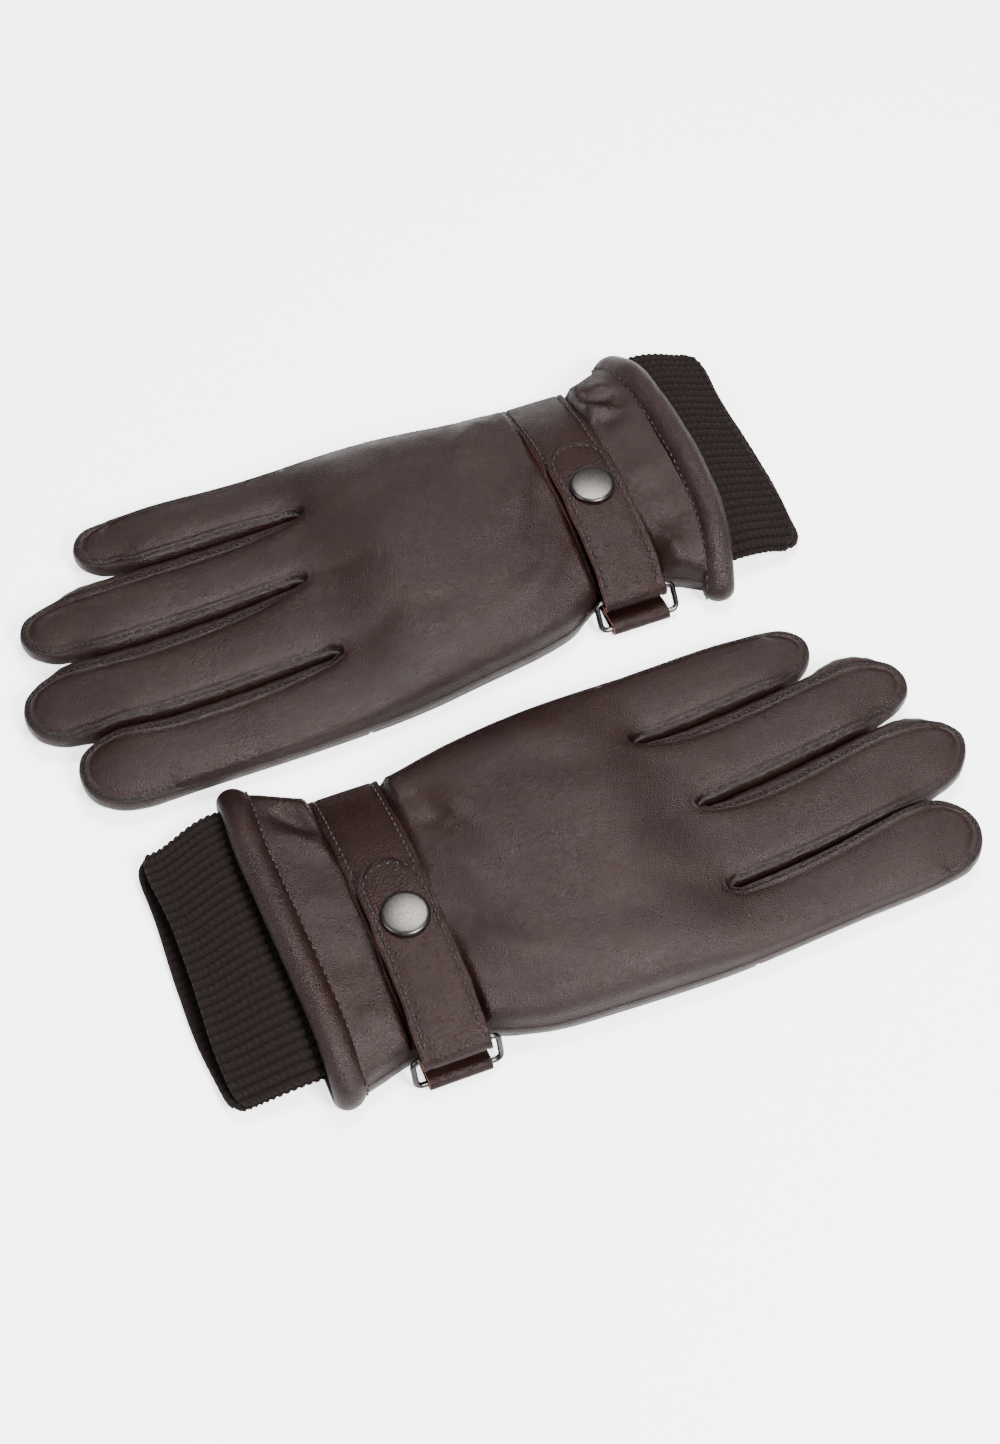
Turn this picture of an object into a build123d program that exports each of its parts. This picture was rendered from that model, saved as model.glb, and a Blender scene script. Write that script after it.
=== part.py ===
"""A pair of gentlemen's leather gloves, lying palm down, side by side and head to tail.

Frame: +X runs along the left glove's fingers, +Y from the left glove to the right one, +Z up. The origin is on
the table, under the middle of the pair. The right glove is built as a mirror image, with its fingers towards -X.
Within a glove, "along" runs from the wrist strap towards the fingertips and "across" from the index finger's
side (near) to the little finger's side (far). Lengths are in millimetres.
"""

import math
import os
from dataclasses import dataclass

from build123d import *

# Materials
LEATHER = 0.9  # thickness of the glove's outer leather
LINING = 1.0  # thickness of the fabric lining
PLY_GAP = 0.1  # air between the two
KNIT = 2.4  # thickness of the doubled rib knit
HEM = 2.2  # thickness of the turned cuff edge

# Running gaps
ROOT_GAP = 0.5  # between a finger and the hand that it flexes on
SEAM_GAP = 0.05  # around each fourchette in its window
HEM_GAP = 0.1  # between the hem and the hand's leather
STUD_GAP = 0.03  # between the press stud's pieces and the strap

# Cutting boxes
CUT_REACH = 40.0  # they reach this far past what they cut
ROOT_CUT_ENDS = (-90.0, 100.0)  # where the outermost roots' cuts end, across
ROOT_OVERLAP = 1.0  # of neighbouring roots' cuts

# Finger section, as heights over the table: under side, foot of the side wall, head of the wall, back
FINGER_STATIONS = (
    # share of length, share of width, under side, wall foot, wall head, back
    (0.00, 1.00, 0.0, 3.5, 10.5, 15.0),
    (0.35, 0.99, 0.0, 3.5, 10.2, 14.6),
    (0.76, 0.95, 0.0, 3.5, 9.8, 13.6),
    (0.93, 0.78, 0.9, 4.0, 9.4, 12.4),
    (1.00, 0.44, 2.8, 4.6, 9.1, 10.8),
)
FOURCHETTE_LOW = 4.2
FOURCHETTE_HIGH = 9.4
FOURCHETTE_SPAN = (0.03, 0.90)  # shares of the finger's length
WINDOW_DEPTH = 9.0  # of the box that cuts a fourchette's window
WINDOW_BITE = 4.5  # of it inside the finger's side

# Thumb, folded flat under the palm
THUMB_STATIONS = (
    (0.00, 0.86, 0.3, 2.2, 6.8, 9.0),
    (0.12, 1.00, 0.0, 2.2, 6.8, 9.2),
    (0.70, 0.96, 0.0, 2.2, 6.8, 9.0),
    (0.90, 0.76, 0.2, 2.2, 6.6, 8.2),
    (1.00, 0.44, 1.0, 2.3, 6.5, 7.2),
)
THUMB_HOLE = (14.0, 14.0)  # along and across
THUMB_HOLE_START = 3.5  # from the thumb's fold
THUMB_HOLE_CORNER = 4.0
THUMB_HOLE_HEIGHT = 10.0  # of its middle, over the table
PALM_HOLE_DEPTH = 6.0  # each way from that height, through the palm
THUMB_HOLE_DEPTH = 5.5  # down from that height, through the top of the thumb

# Palm's under side: flat over the thumb, and draped to the table at both edges
NEAR_DRAPE = 11.0
FAR_DRAPE = 30.0

# Cuff
HEM_START = -38.0
HEM_HEIGHTS = (0.0, 3.2, 10.5, 20.5)  # palm, edge foot, edge head, back
HAND_START = -29.5
KNIT_START = -64.0
KNIT_NECK = -42.0  # from here on the tube is as small as it is inside the cuff
KNIT_END = -25.0
KNIT_MOUTH_HEIGHTS = (0.0, 2.8, 9.5, 13.5)
KNIT_INSIDE_HEIGHTS = (2.4, 4.3, 9.5, 15.5)
LINING_START = -24.5

# Strap and its ring
STRAP_WIDTH = 23.0
STRAP_THICK = 1.6
STRAP_CLEAR = 0.5  # over the back of the hand
FOLD_RADIUS = 2.6  # of the strap's middle, round the ring's upper bar
BASE_END = 4.3  # the fixed run stops this far from the bar, clear of the turning fold
FLAP_TIP = 21.0  # where the free end's round tip is, across
FLAP_APEX = 2.2
FLAP_RISE = 3.7  # of the flap's middle over the fixed run's, at its highest
WIRE = 0.9  # the ring's wire, radius
RING_BARS = 9.0  # between the two bars' axes
RING_WIDTH = 26.4  # between the two sides' axes
RING_CORNER = 2.0
TAB_WIDTH = 20.0
TAB_THICK = 1.2
TAB_CLEAR = 0.25
TAB_TONGUE = 11.5  # from the lower bar to the tongue's end

# Press stud
CAP_RADIUS = 7.5
CAP_HEIGHT = 2.0
CAP_ROUND = 1.6  # radius of the cap's edge
SHANK_RADIUS = 1.4
SHANK_HOLE = 1.6
SOCKET_RADIUS = 5.3
SOCKET_BORE = 2.6
SOCKET_HEIGHT = 1.25
KNOB_RADIUS = 2.15
KNOB_HEIGHT = 1.6
FLANGE_RADIUS = 4.4
FLANGE_HEIGHT = 0.35


@dataclass
class Finger:
    name: str
    root: tuple  # (along, across) of the middle of its root
    tip: tuple
    width: float  # at the root
    tip_width: float
    fourchettes: tuple  # +1 towards the little finger, -1 towards the index finger


@dataclass
class Glove:
    name: str
    side: int  # +1 with fingers towards +X, -1 towards -X
    at: tuple  # where the press stud's axis stands
    fingers: tuple
    hand: tuple  # stations: along, near, far, palm, edge foot, edge head, back
    hem: tuple  # near, far
    knit: tuple  # near and far at the mouth, near and far inside the cuff
    strap_apex: float
    strap_end: float
    ring_low: tuple  # (across, height) of the lower bar's axis
    ring_lean: float  # the ring's lean towards the hand, in degrees
    thumb: Finger


LEFT = Glove(
    name="left",
    side=1,
    at=(-52.1, -72.4),
    fingers=(
        Finger("index", (94.5, -32.0), (175.5, -26.0), 22.0, 25.0, (1,)),
        Finger("middle", (95.5, -7.0), (185.5, 5.5), 27.0, 26.0, (1, -1)),
        Finger("ring", (91.5, 22.0), (179.0, 34.0), 26.0, 24.0, (1, -1)),
        Finger("little", (87.0, 50.0), (155.5, 54.5), 26.5, 21.0, (-1,)),
    ),
    hand=(
        (HAND_START, -41.0, 67.0, 0.0, 3.0, 9.0, 19.0),
        (-15.5, -37.5, 54.5, 0.0, 2.6, 7.8, 18.0),
        (-12.5, -35.5, 52.0, 0.0, 2.6, 7.6, 18.0),
        (13.0, -35.5, 52.0, 0.0, 2.6, 7.6, 18.0),
        (20.0, -40.5, 54.5, 0.0, 3.0, 8.5, 20.5),
        (30.0, -41.5, 57.5, 9.8, 3.0, 9.0, 23.0),
        (55.0, -42.5, 61.5, 9.8, 3.0, 10.0, 25.5),
        (76.0, -43.0, 63.0, 9.8, 3.2, 10.5, 22.5),
        (86.0, -43.5, 63.5, 0.0, 3.5, 10.5, 18.0),
        (100.0, -43.5, 63.5, 0.0, 3.5, 10.5, 16.0),
    ),
    hem=(-42.5, 73.0),
    knit=(-33.0, 58.0, -31.0, 54.0),
    strap_apex=7.0,
    strap_end=53.0,
    ring_low=(-43.4, 2.8),
    ring_lean=22.0,
    thumb=Finger("thumb", (31.0, -18.0), (74.5, -8.0), 23.0, 21.0, ()),
)

RIGHT = Glove(
    name="right",
    side=-1,
    at=(60.9, 56.6),
    fingers=(
        Finger("index", (97.0, -39.5), (185.5, -39.5), 25.0, 24.5, (1,)),
        Finger("middle", (97.5, -11.5), (195.0, -10.0), 27.5, 25.5, (1, -1)),
        Finger("ring", (94.5, 16.5), (188.5, 21.5), 24.5, 23.5, (1, -1)),
        Finger("little", (90.5, 42.0), (162.0, 46.5), 25.0, 21.0, (-1,)),
    ),
    hand=(
        (HAND_START, -43.5, 58.5, 0.0, 3.0, 9.0, 19.0),
        (-15.5, -35.0, 52.0, 0.0, 2.6, 7.6, 18.0),
        (-12.5, -32.0, 49.5, 0.0, 2.6, 7.6, 18.0),
        (13.0, -32.0, 49.5, 0.0, 2.6, 7.6, 18.0),
        (20.0, -40.5, 50.5, 0.0, 3.0, 8.5, 20.5),
        (30.0, -42.5, 51.5, 9.8, 3.0, 9.0, 23.0),
        (55.0, -47.0, 53.5, 9.8, 3.0, 10.0, 25.5),
        (77.0, -50.5, 54.5, 9.8, 3.2, 10.5, 22.5),
        (88.0, -52.0, 54.5, 0.0, 3.5, 10.5, 18.0),
        (103.0, -52.0, 54.5, 0.0, 3.5, 10.5, 16.0),
    ),
    hem=(-45.5, 61.5),
    knit=(-35.0, 55.0, -33.0, 46.0),
    strap_apex=8.75,
    strap_end=50.5,
    ring_low=(-42.0, 2.8),
    ring_lean=41.0,
    thumb=Finger("thumb", (31.0, -21.0), (75.5, -15.0), 23.0, 21.0, ()),
)


# Places


def world(glove, along, across, height=0.0):
    """A point of a glove in the pair's frame."""
    return (glove.at[0] + glove.side * along, glove.at[1] + across, height)


def cross_plane(glove, along):
    """The upright plane across a glove, with its own axes on +Y and +Z and its origin at the glove's middle."""
    return Plane(origin=world(glove, along, 0.0), x_dir=(0, 1, 0), z_dir=(1, 0, 0))


def finger_frame(glove, finger):
    """Root point, direction, lateral direction and length of a finger in the pair's frame."""
    root = Vector(*world(glove, *finger.root))
    reach = Vector(*world(glove, *finger.tip)) - root
    direction = reach.normalized()
    return root, direction, Vector(0, 0, 1).cross(direction), reach.length


def finger_plane(glove, finger, distance):
    """The upright plane square to a finger, that far from its root."""
    root, direction, lateral, _ = finger_frame(glove, finger)
    return Plane(origin=root + direction * distance, x_dir=lateral, z_dir=direction)


# Sections


def hand_section(near, far, palm, foot, head, back, inset=0.0):
    """The hand's outline: an arched back, short side walls and a draped palm."""
    near_in, far_in = near + inset, far - inset
    foot_in, head_in = foot + inset, head - inset
    with BuildSketch() as section:
        with BuildLine():
            Polyline(
                (near_in, head_in),
                (near_in, foot_in),
                (near + NEAR_DRAPE, palm + inset),
                (far - FAR_DRAPE, palm + inset),
                (far_in, foot_in),
                (far_in, head_in),
            )
            ThreePointArc((far_in, head_in), ((near + far) / 2, back - inset), (near_in, head_in))
        make_face()
    return section.sketch


def finger_section(width, under, foot, head, back, inset=0.0):
    """A finger's outline: flat side walls between two shallow arches."""
    half = width / 2 - inset
    foot_in, head_in = foot + inset, head - inset
    with BuildSketch() as section:
        with BuildLine():
            Line((-half, foot_in), (-half, head_in))
            ThreePointArc((-half, head_in), (0, back - inset), (half, head_in))
            Line((half, head_in), (half, foot_in))
            ThreePointArc((half, foot_in), (0, under + inset), (-half, foot_in))
        make_face()
    return section.sketch


def hand_shell(glove, start, outside, inside):
    """The hand's skin between two insets, from start to the fingers' roots, open at both ends."""
    first = interpolated_station(glove.hand, start)
    stations = [first] + [s for s in glove.hand if s[0] > start]
    with BuildPart() as shell:
        for inset, mode in ((outside, Mode.ADD), (inside, Mode.SUBTRACT)):
            for along, *outline in stations:
                with BuildSketch(cross_plane(glove, along)):
                    add(hand_section(*outline, inset=inset))
            loft(ruled=True, mode=mode)
        for finger, (low, high) in zip(glove.fingers, root_spans(glove)):
            with BuildSketch(finger_plane(glove, finger, -ROOT_GAP)):
                middle = (low + high) / 2 - finger.root[1]
                with Locations((glove.side * middle, 0)):
                    Rectangle(high - low, 2 * CUT_REACH)
            extrude(amount=CUT_REACH, mode=Mode.SUBTRACT)
        with BuildSketch(Plane(origin=thumb_hole_middle(glove), z_dir=(0, 0, 1))):
            RectangleRounded(*THUMB_HOLE, radius=THUMB_HOLE_CORNER)
        extrude(amount=PALM_HOLE_DEPTH, both=True, mode=Mode.SUBTRACT)
    return shell


def interpolated_station(stations, along):
    """A hand station at any place, straight between its neighbours."""
    before = [s for s in stations if s[0] <= along][-1]
    after = [s for s in stations if s[0] > along][0]
    share = (along - before[0]) / (after[0] - before[0])
    return tuple(b + share * (a - b) for b, a in zip(before, after))


def root_spans(glove):
    """How far across each finger's root cut reaches, so that the cuts meet between the fingers."""
    edges = [ROOT_CUT_ENDS[0]]
    for one, other in zip(glove.fingers, glove.fingers[1:]):
        edges.append((one.root[1] + one.width / 2 + other.root[1] - other.width / 2) / 2)
    edges.append(ROOT_CUT_ENDS[1])
    return [(low - ROOT_OVERLAP, high + ROOT_OVERLAP) for low, high in zip(edges, edges[1:])]


def thumb_hole_middle(glove):
    """The middle of the hole that joins the palm to the folded thumb."""
    root, direction, _, _ = finger_frame(glove, glove.thumb)
    middle = root + direction * (THUMB_HOLE_START + THUMB_HOLE[0] / 2)
    return (middle.X, middle.Y, THUMB_HOLE_HEIGHT)


def tube(glove, finger, stations, outside, inside, closed_root=False):
    """A finger's skin between two insets. Its tip is closed, and its root is open unless closed_root."""
    length = finger_frame(glove, finger)[3]
    with BuildPart() as skin:
        for inset, mode in ((outside, Mode.ADD), (inside, Mode.SUBTRACT)):
            start = inset if closed_root else 0.0
            for share, width_share, *heights in stations:
                width = finger.width + share * (finger.tip_width - finger.width)
                distance = start + share * (length - inset - start)
                with BuildSketch(finger_plane(glove, finger, distance)):
                    add(finger_section(width * width_share, *heights, inset=inset))
            loft(ruled=True, mode=mode)
    return skin


def fourchette_window(glove, finger, grow=0.0):
    """Boxes over the parts of a finger's side walls that its fourchettes fill, ready to cut with."""
    length = finger_frame(glove, finger)[3]
    start, end = (share * length for share in FOURCHETTE_SPAN)
    height = FOURCHETTE_HIGH - FOURCHETTE_LOW + 2 * grow
    with BuildPart() as window:
        for side in finger.fourchettes:
            with BuildSketch(finger_plane(glove, finger, start - grow)):
                lateral = glove.side * side * (finger.width / 2 - WINDOW_BITE + WINDOW_DEPTH / 2)
                with Locations((lateral, (FOURCHETTE_LOW + FOURCHETTE_HIGH) / 2)):
                    Rectangle(WINDOW_DEPTH, height)
            extrude(amount=end - start + 2 * grow)
    return window.part


# Sub-parts


def finger_parts(glove, finger):
    """Leather, fourchettes and lining of one finger."""
    leather = tube(glove, finger, FINGER_STATIONS, 0.0, LEATHER)
    lining = tube(glove, finger, FINGER_STATIONS, LEATHER + PLY_GAP, LEATHER + PLY_GAP + LINING)
    with BuildPart() as trank:
        add(leather.part)
        add(fourchette_window(glove, finger, SEAM_GAP), mode=Mode.SUBTRACT)
    with BuildPart() as fourchettes:
        add(leather.part)
        add(fourchette_window(glove, finger), mode=Mode.INTERSECT)
    joined = "fourchettes" if len(finger.fourchettes) > 1 else "fourchette"
    return {
        f"{finger.name}_leather": trank.part,
        f"{finger.name}_{joined}": fourchettes.part,
        f"{finger.name}_lining": lining.part,
    }


def thumb_parts(glove):
    """The folded thumb's leather and lining, both open on top towards the palm."""
    parts = {}
    for name, outside, inside in (
        ("thumb_leather", 0.0, LEATHER),
        ("thumb_lining", LEATHER + PLY_GAP, LEATHER + PLY_GAP + LINING),
    ):
        skin = tube(glove, glove.thumb, THUMB_STATIONS, outside, inside, closed_root=True)
        with BuildPart() as piece:
            add(skin.part)
            with BuildSketch(Plane(origin=thumb_hole_middle(glove), z_dir=(0, 0, 1))):
                RectangleRounded(*THUMB_HOLE, radius=THUMB_HOLE_CORNER)
            extrude(amount=-THUMB_HOLE_DEPTH, mode=Mode.SUBTRACT)
        parts[name] = piece.part
    return parts


def cuff_hem(glove):
    """The turned leather edge round the cuff's mouth."""
    length = glove.side * (HAND_START - HEM_GAP - HEM_START)
    with BuildPart() as hem:
        with BuildSketch(cross_plane(glove, HEM_START)):
            add(hand_section(*glove.hem, *HEM_HEIGHTS))
        extrude(amount=length)
        with BuildSketch(cross_plane(glove, HEM_START)):
            add(hand_section(*glove.hand[0][1:], inset=HEM))
        extrude(amount=length, mode=Mode.SUBTRACT)
    return hem.part


def knit_cuff(glove):
    """The doubled rib knit tube that closes round the wrist. It lies on the table beyond the hem."""
    mouth, inside = glove.knit[:2], glove.knit[2:]
    stations = (
        (KNIT_START, *mouth, *KNIT_MOUTH_HEIGHTS),
        (KNIT_NECK, *inside, *KNIT_INSIDE_HEIGHTS),
        (KNIT_END, *inside, *KNIT_INSIDE_HEIGHTS),
    )
    with BuildPart() as knit:
        for inset, mode in ((0.0, Mode.ADD), (KNIT, Mode.SUBTRACT)):
            for along, *outline in stations:
                with BuildSketch(cross_plane(glove, along)):
                    add(hand_section(*outline, inset=inset))
            loft(ruled=True, mode=mode)
    return knit.part


@dataclass
class Arc:
    """A run of strap in the plane across the glove: an arc with its highest point at (apex, top)."""

    apex: float
    top: float
    radius: float

    def height(self, across, offset=0.0):
        reach = self.radius + offset
        return self.top - self.radius + math.sqrt(reach**2 - (across - self.apex) ** 2)

    def point(self, across, offset=0.0):
        """The point that offset takes out square from the arc's middle line at across."""
        turn = math.asin((across - self.apex) / self.radius)
        reach = self.radius + offset
        return (self.apex + reach * math.sin(turn), self.top - self.radius + reach * math.cos(turn))


def ring_high(glove):
    """(across, height) of the ring's upper bar's axis."""
    lean = math.radians(glove.ring_lean)
    low = glove.ring_low
    return (low[0] + RING_BARS * math.sin(lean), low[1] + RING_BARS * math.cos(lean))


def base_arc(glove):
    """The fixed run: over the back of the hand, and under the ring's upper bar by the fold's radius."""
    bar = ring_high(glove)
    back = interpolated_station(glove.hand, 0.0)[6]
    top = back + STRAP_CLEAR + STRAP_THICK / 2
    run, drop = bar[0] - glove.strap_apex, bar[1] - top
    radius = (run**2 + drop**2 - FOLD_RADIUS**2) / (2 * FOLD_RADIUS - 2 * drop)
    return Arc(glove.strap_apex, top, radius)


def flap_arc(glove):
    """The free run: tangent to the fold over the bar, and over the fixed run."""
    bar = ring_high(glove)
    top = base_arc(glove).height(FLAP_APEX) + FLAP_RISE
    run, drop = bar[0] - FLAP_APEX, bar[1] - top
    radius = (run**2 + drop**2 - FOLD_RADIUS**2) / (-2 * drop - 2 * FOLD_RADIUS)
    return Arc(FLAP_APEX, top, radius)


def strap_run(arc, start, end):
    """A strap's thickness along an arc."""
    half = STRAP_THICK / 2
    middle = (start + end) / 2
    with BuildSketch() as run:
        with BuildLine():
            ThreePointArc(arc.point(start, half), arc.point(middle, half), arc.point(end, half))
            Line(arc.point(end, half), arc.point(end, -half))
            ThreePointArc(arc.point(end, -half), arc.point(middle, -half), arc.point(start, -half))
            Line(arc.point(start, -half), arc.point(start, half))
        make_face()
    return run.sketch


def shank_hole(glove, arc):
    """The press stud's hole through a strap, as a solid to cut with."""
    with BuildPart(stud_plane(glove, arc, 0.0)) as hole:
        Cylinder(SHANK_HOLE, 4 * STRAP_THICK)
    return hole.part


def strap_base(glove):
    """The strap's fixed run, from the side seam to the ring."""
    arc = base_arc(glove)
    with BuildPart() as strap:
        with BuildSketch(cross_plane(glove, 0.0)):
            add(strap_run(arc, ring_high(glove)[0] + BASE_END, glove.strap_end))
        extrude(amount=STRAP_WIDTH / 2, both=True)
        add(shank_hole(glove, arc), mode=Mode.SUBTRACT)
    return strap.part


def strap_flap(glove):
    """The strap's free end: the fold round the ring's bar, the return run and the round tip."""
    arc = flap_arc(glove)
    bar = ring_high(glove)
    half = STRAP_THICK / 2
    centre = (arc.apex, arc.top - arc.radius)
    outwards = math.atan2(bar[1] - centre[1], bar[0] - centre[0])
    start = bar[0] + FOLD_RADIUS * math.cos(outwards)

    def round_bar(radius, turn):
        angle = outwards + math.radians(turn)
        return (bar[0] + radius * math.cos(angle), bar[1] + radius * math.sin(angle))

    outer, inner = FOLD_RADIUS + half, FOLD_RADIUS - half
    with BuildPart() as strap:
        with BuildSketch(cross_plane(glove, 0.0)):
            add(strap_run(arc, start, FLAP_TIP))
            with BuildLine():
                ThreePointArc(round_bar(outer, 0), round_bar(outer, 90), round_bar(outer, 180))
                Line(round_bar(outer, 180), round_bar(inner, 180))
                ThreePointArc(round_bar(inner, 180), round_bar(inner, 90), round_bar(inner, 0))
                Line(round_bar(inner, 0), round_bar(outer, 0))
            make_face()
        extrude(amount=STRAP_WIDTH / 2, both=True)
        tip = world(glove, 0, FLAP_TIP - STRAP_WIDTH / 2, 0)
        with BuildSketch(Plane(origin=tip, z_dir=(0, 0, 1))):
            with Locations((0, STRAP_WIDTH / 2)):
                Rectangle(2 * STRAP_WIDTH, STRAP_WIDTH)
            Circle(STRAP_WIDTH / 2, mode=Mode.SUBTRACT)
        extrude(amount=CUT_REACH, mode=Mode.SUBTRACT)
        add(shank_hole(glove, arc), mode=Mode.SUBTRACT)
    return strap.part


def wire_ring(glove):
    """The rectangular wire ring that joins the strap to its tab."""
    lean = math.radians(glove.ring_lean)
    low = glove.ring_low
    upwards = (0, math.sin(lean), math.cos(lean))
    middle = world(
        glove,
        0,
        low[0] + RING_BARS / 2 * math.sin(lean),
        low[1] + RING_BARS / 2 * math.cos(lean),
    )
    plane = Plane(origin=middle, x_dir=(1, 0, 0), z_dir=Vector(1, 0, 0).cross(Vector(*upwards)))
    with BuildPart() as ring:
        with BuildLine(plane) as path:
            half_width, half_height = RING_WIDTH / 2, RING_BARS / 2
            FilletPolyline(
                (half_width, -half_height),
                (half_width, half_height),
                (-half_width, half_height),
                (-half_width, -half_height),
                radius=RING_CORNER,
                close=True,
            )
        wire = path.wire()
        with BuildSketch(Plane(origin=wire @ 0, z_dir=wire % 0)):
            Circle(WIRE)
        sweep(path=wire)
    return ring.part


def ring_tab(glove):
    """The leather tab: a loop round the ring's lower bar, and a tongue sewn under the palm."""
    across, height = glove.ring_low
    inner = WIRE + TAB_CLEAR
    outer = inner + TAB_THICK
    with BuildPart() as tab:
        with BuildSketch(cross_plane(glove, 0.0)):
            with Locations((across, height)):
                Circle(outer)
            with Locations((across + TAB_TONGUE / 2, height - inner - TAB_THICK / 2)):
                Rectangle(TAB_TONGUE, TAB_THICK)
            with Locations((across, height)):
                Circle(inner, mode=Mode.SUBTRACT)
        extrude(amount=TAB_WIDTH / 2, both=True)
    return tab.part


def stud_plane(glove, arc, offset):
    """A plane square to a strap's arc on the press stud's axis, offset out from its middle."""
    across, height = arc.point(0.0, offset)
    lean = math.asin(-arc.apex / arc.radius)
    return Plane(
        origin=world(glove, 0, across, height),
        x_dir=(1, 0, 0),
        z_dir=(0, math.sin(lean), math.cos(lean)),
    )


def press_stud(glove):
    """Cap and socket, which lift with the flap, and the stud on the fixed run."""
    half = STRAP_THICK / 2
    bottom = (Align.CENTER, Align.CENTER, Align.MIN)
    top = (Align.CENTER, Align.CENTER, Align.MAX)
    flap, base = flap_arc(glove), base_arc(glove)
    with BuildPart(stud_plane(glove, flap, half + STUD_GAP)) as cap:
        Cylinder(CAP_RADIUS, CAP_HEIGHT, align=bottom)
        fillet(cap.faces().sort_by(Axis.Z)[-1].edges(), CAP_ROUND)
        Cylinder(SHANK_RADIUS, STRAP_THICK, align=top)
    sag = SOCKET_RADIUS**2 / (2 * flap.radius)
    with BuildPart(stud_plane(glove, flap, -half - STUD_GAP - sag)) as socket:
        Cylinder(SOCKET_RADIUS, SOCKET_HEIGHT, align=top)
        Cylinder(SOCKET_BORE, SOCKET_HEIGHT, align=top, mode=Mode.SUBTRACT)
    with BuildPart(stud_plane(glove, base, half + STUD_GAP)) as stud:
        Cylinder(FLANGE_RADIUS, FLANGE_HEIGHT, align=bottom)
        Cylinder(KNOB_RADIUS, KNOB_HEIGHT, align=bottom)
        Cylinder(SHANK_RADIUS, STRAP_THICK, align=top)
    return {"snap_cap": cap.part, "snap_socket": socket.part, "snap_stud": stud.part}


def glove_parts(glove):
    """Every sub-part of one glove by name."""
    lined = LEATHER + PLY_GAP
    parts = {
        "hand_leather": hand_shell(glove, HAND_START, 0.0, LEATHER).part,
        "hand_lining": hand_shell(glove, LINING_START, lined, lined + LINING).part,
        "cuff_hem": cuff_hem(glove),
        "knit_cuff": knit_cuff(glove),
        "strap_base": strap_base(glove),
        "strap_flap": strap_flap(glove),
        "strap_ring": wire_ring(glove),
        "ring_tab": ring_tab(glove),
    }
    parts.update(press_stud(glove))
    parts.update(thumb_parts(glove))
    for finger in glove.fingers:
        parts.update(finger_parts(glove, finger))
    return parts


def main():
    os.makedirs("parts", exist_ok=True)
    boxes = []
    for glove in (LEFT, RIGHT):
        for name, part in glove_parts(glove).items():
            part.label = f"{glove.name}_{name}"
            export_step(part, f"parts/{part.label}.step")
            boxes.append(part.bounding_box())
    low = [min(getattr(b.min, axis) for b in boxes) for axis in "XYZ"]
    high = [max(getattr(b.max, axis) for b in boxes) for axis in "XYZ"]
    print("low corner", [round(v, 2) for v in low])
    print("high corner", [round(v, 2) for v in high])
    print("middle", [round((a + b) / 2, 2) for a, b in zip(low, high)])


main()
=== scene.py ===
"""A pair of dark leather dress gloves on a pale table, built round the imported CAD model.

Lengths are in millimetres until a mesh is made, and metres in Blender. A glove is drawn in its own
frame, with its origin under the press stud: "along" towards the fingertips, "across" towards the little
finger's side, and up.
"""

import math

import bpy
import numpy as np
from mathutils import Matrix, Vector, noise
from mathutils.geometry import delaunay_2d_cdt
from mathutils.kdtree import KDTree


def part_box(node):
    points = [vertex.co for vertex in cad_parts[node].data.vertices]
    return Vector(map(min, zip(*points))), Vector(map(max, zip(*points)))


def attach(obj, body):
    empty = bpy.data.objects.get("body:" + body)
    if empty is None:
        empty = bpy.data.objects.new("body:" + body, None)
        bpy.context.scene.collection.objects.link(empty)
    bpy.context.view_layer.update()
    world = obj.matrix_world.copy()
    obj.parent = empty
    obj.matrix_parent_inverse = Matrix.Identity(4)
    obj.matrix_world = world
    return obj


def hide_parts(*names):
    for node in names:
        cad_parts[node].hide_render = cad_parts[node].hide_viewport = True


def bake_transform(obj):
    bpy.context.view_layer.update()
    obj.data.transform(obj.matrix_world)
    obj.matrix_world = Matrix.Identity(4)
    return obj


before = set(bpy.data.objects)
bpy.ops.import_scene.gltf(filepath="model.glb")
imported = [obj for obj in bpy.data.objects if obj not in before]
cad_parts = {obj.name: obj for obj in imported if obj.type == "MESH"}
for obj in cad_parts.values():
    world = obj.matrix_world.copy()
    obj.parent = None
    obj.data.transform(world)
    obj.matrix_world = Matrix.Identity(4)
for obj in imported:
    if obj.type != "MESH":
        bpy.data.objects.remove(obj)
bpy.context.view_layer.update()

MM = 0.001
UP = np.array((0.0, 0.0, 1.0))

# ---------------------------------------------------------------- camera, light and table

VIEW_AZIMUTH = math.radians(-21.6)
VIEW_ELEVATION = math.radians(55.63)
VIEW_DISTANCE = 0.832
VIEW_TARGET = Vector((0.0046, -0.0043, 0.0))
LENS = 65.45
PALE = (0.92, 0.92, 0.92, 1.0)
FLOOR_GLOW = 2.3  # seen by the camera only, so that the table doesn't light the gloves from below
FLOOR_ROUGHNESS = 0.7
FLOOR_HALF = 3.0  # metres
WORLD_LIGHT = 0.18
# Softboxes: name, place, size and power
LIGHTS = (
    ("key_light", (0.3, -0.85, 0.95), 0.4, 46.0),
    ("fill_light", (-0.95, -0.1, 0.8), 0.6, 9.0),
    ("top_light", (0.25, 0.35, 1.15), 0.5, 27.0),
)


def make_camera():
    """The camera at the photograph's angle."""
    data = bpy.data.cameras.new("camera")
    data.lens = LENS
    data.clip_start = 0.01
    camera = bpy.data.objects.new("camera", data)
    flat = math.cos(VIEW_ELEVATION)
    back = Vector((math.sin(VIEW_AZIMUTH) * flat, -math.cos(VIEW_AZIMUTH) * flat, math.sin(VIEW_ELEVATION)))
    camera.location = VIEW_TARGET + back * VIEW_DISTANCE
    camera.rotation_mode = "QUATERNION"
    camera.rotation_quaternion = (-back).to_track_quat("-Z", "Y")
    bpy.context.scene.collection.objects.link(camera)
    bpy.context.scene.camera = camera


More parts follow.
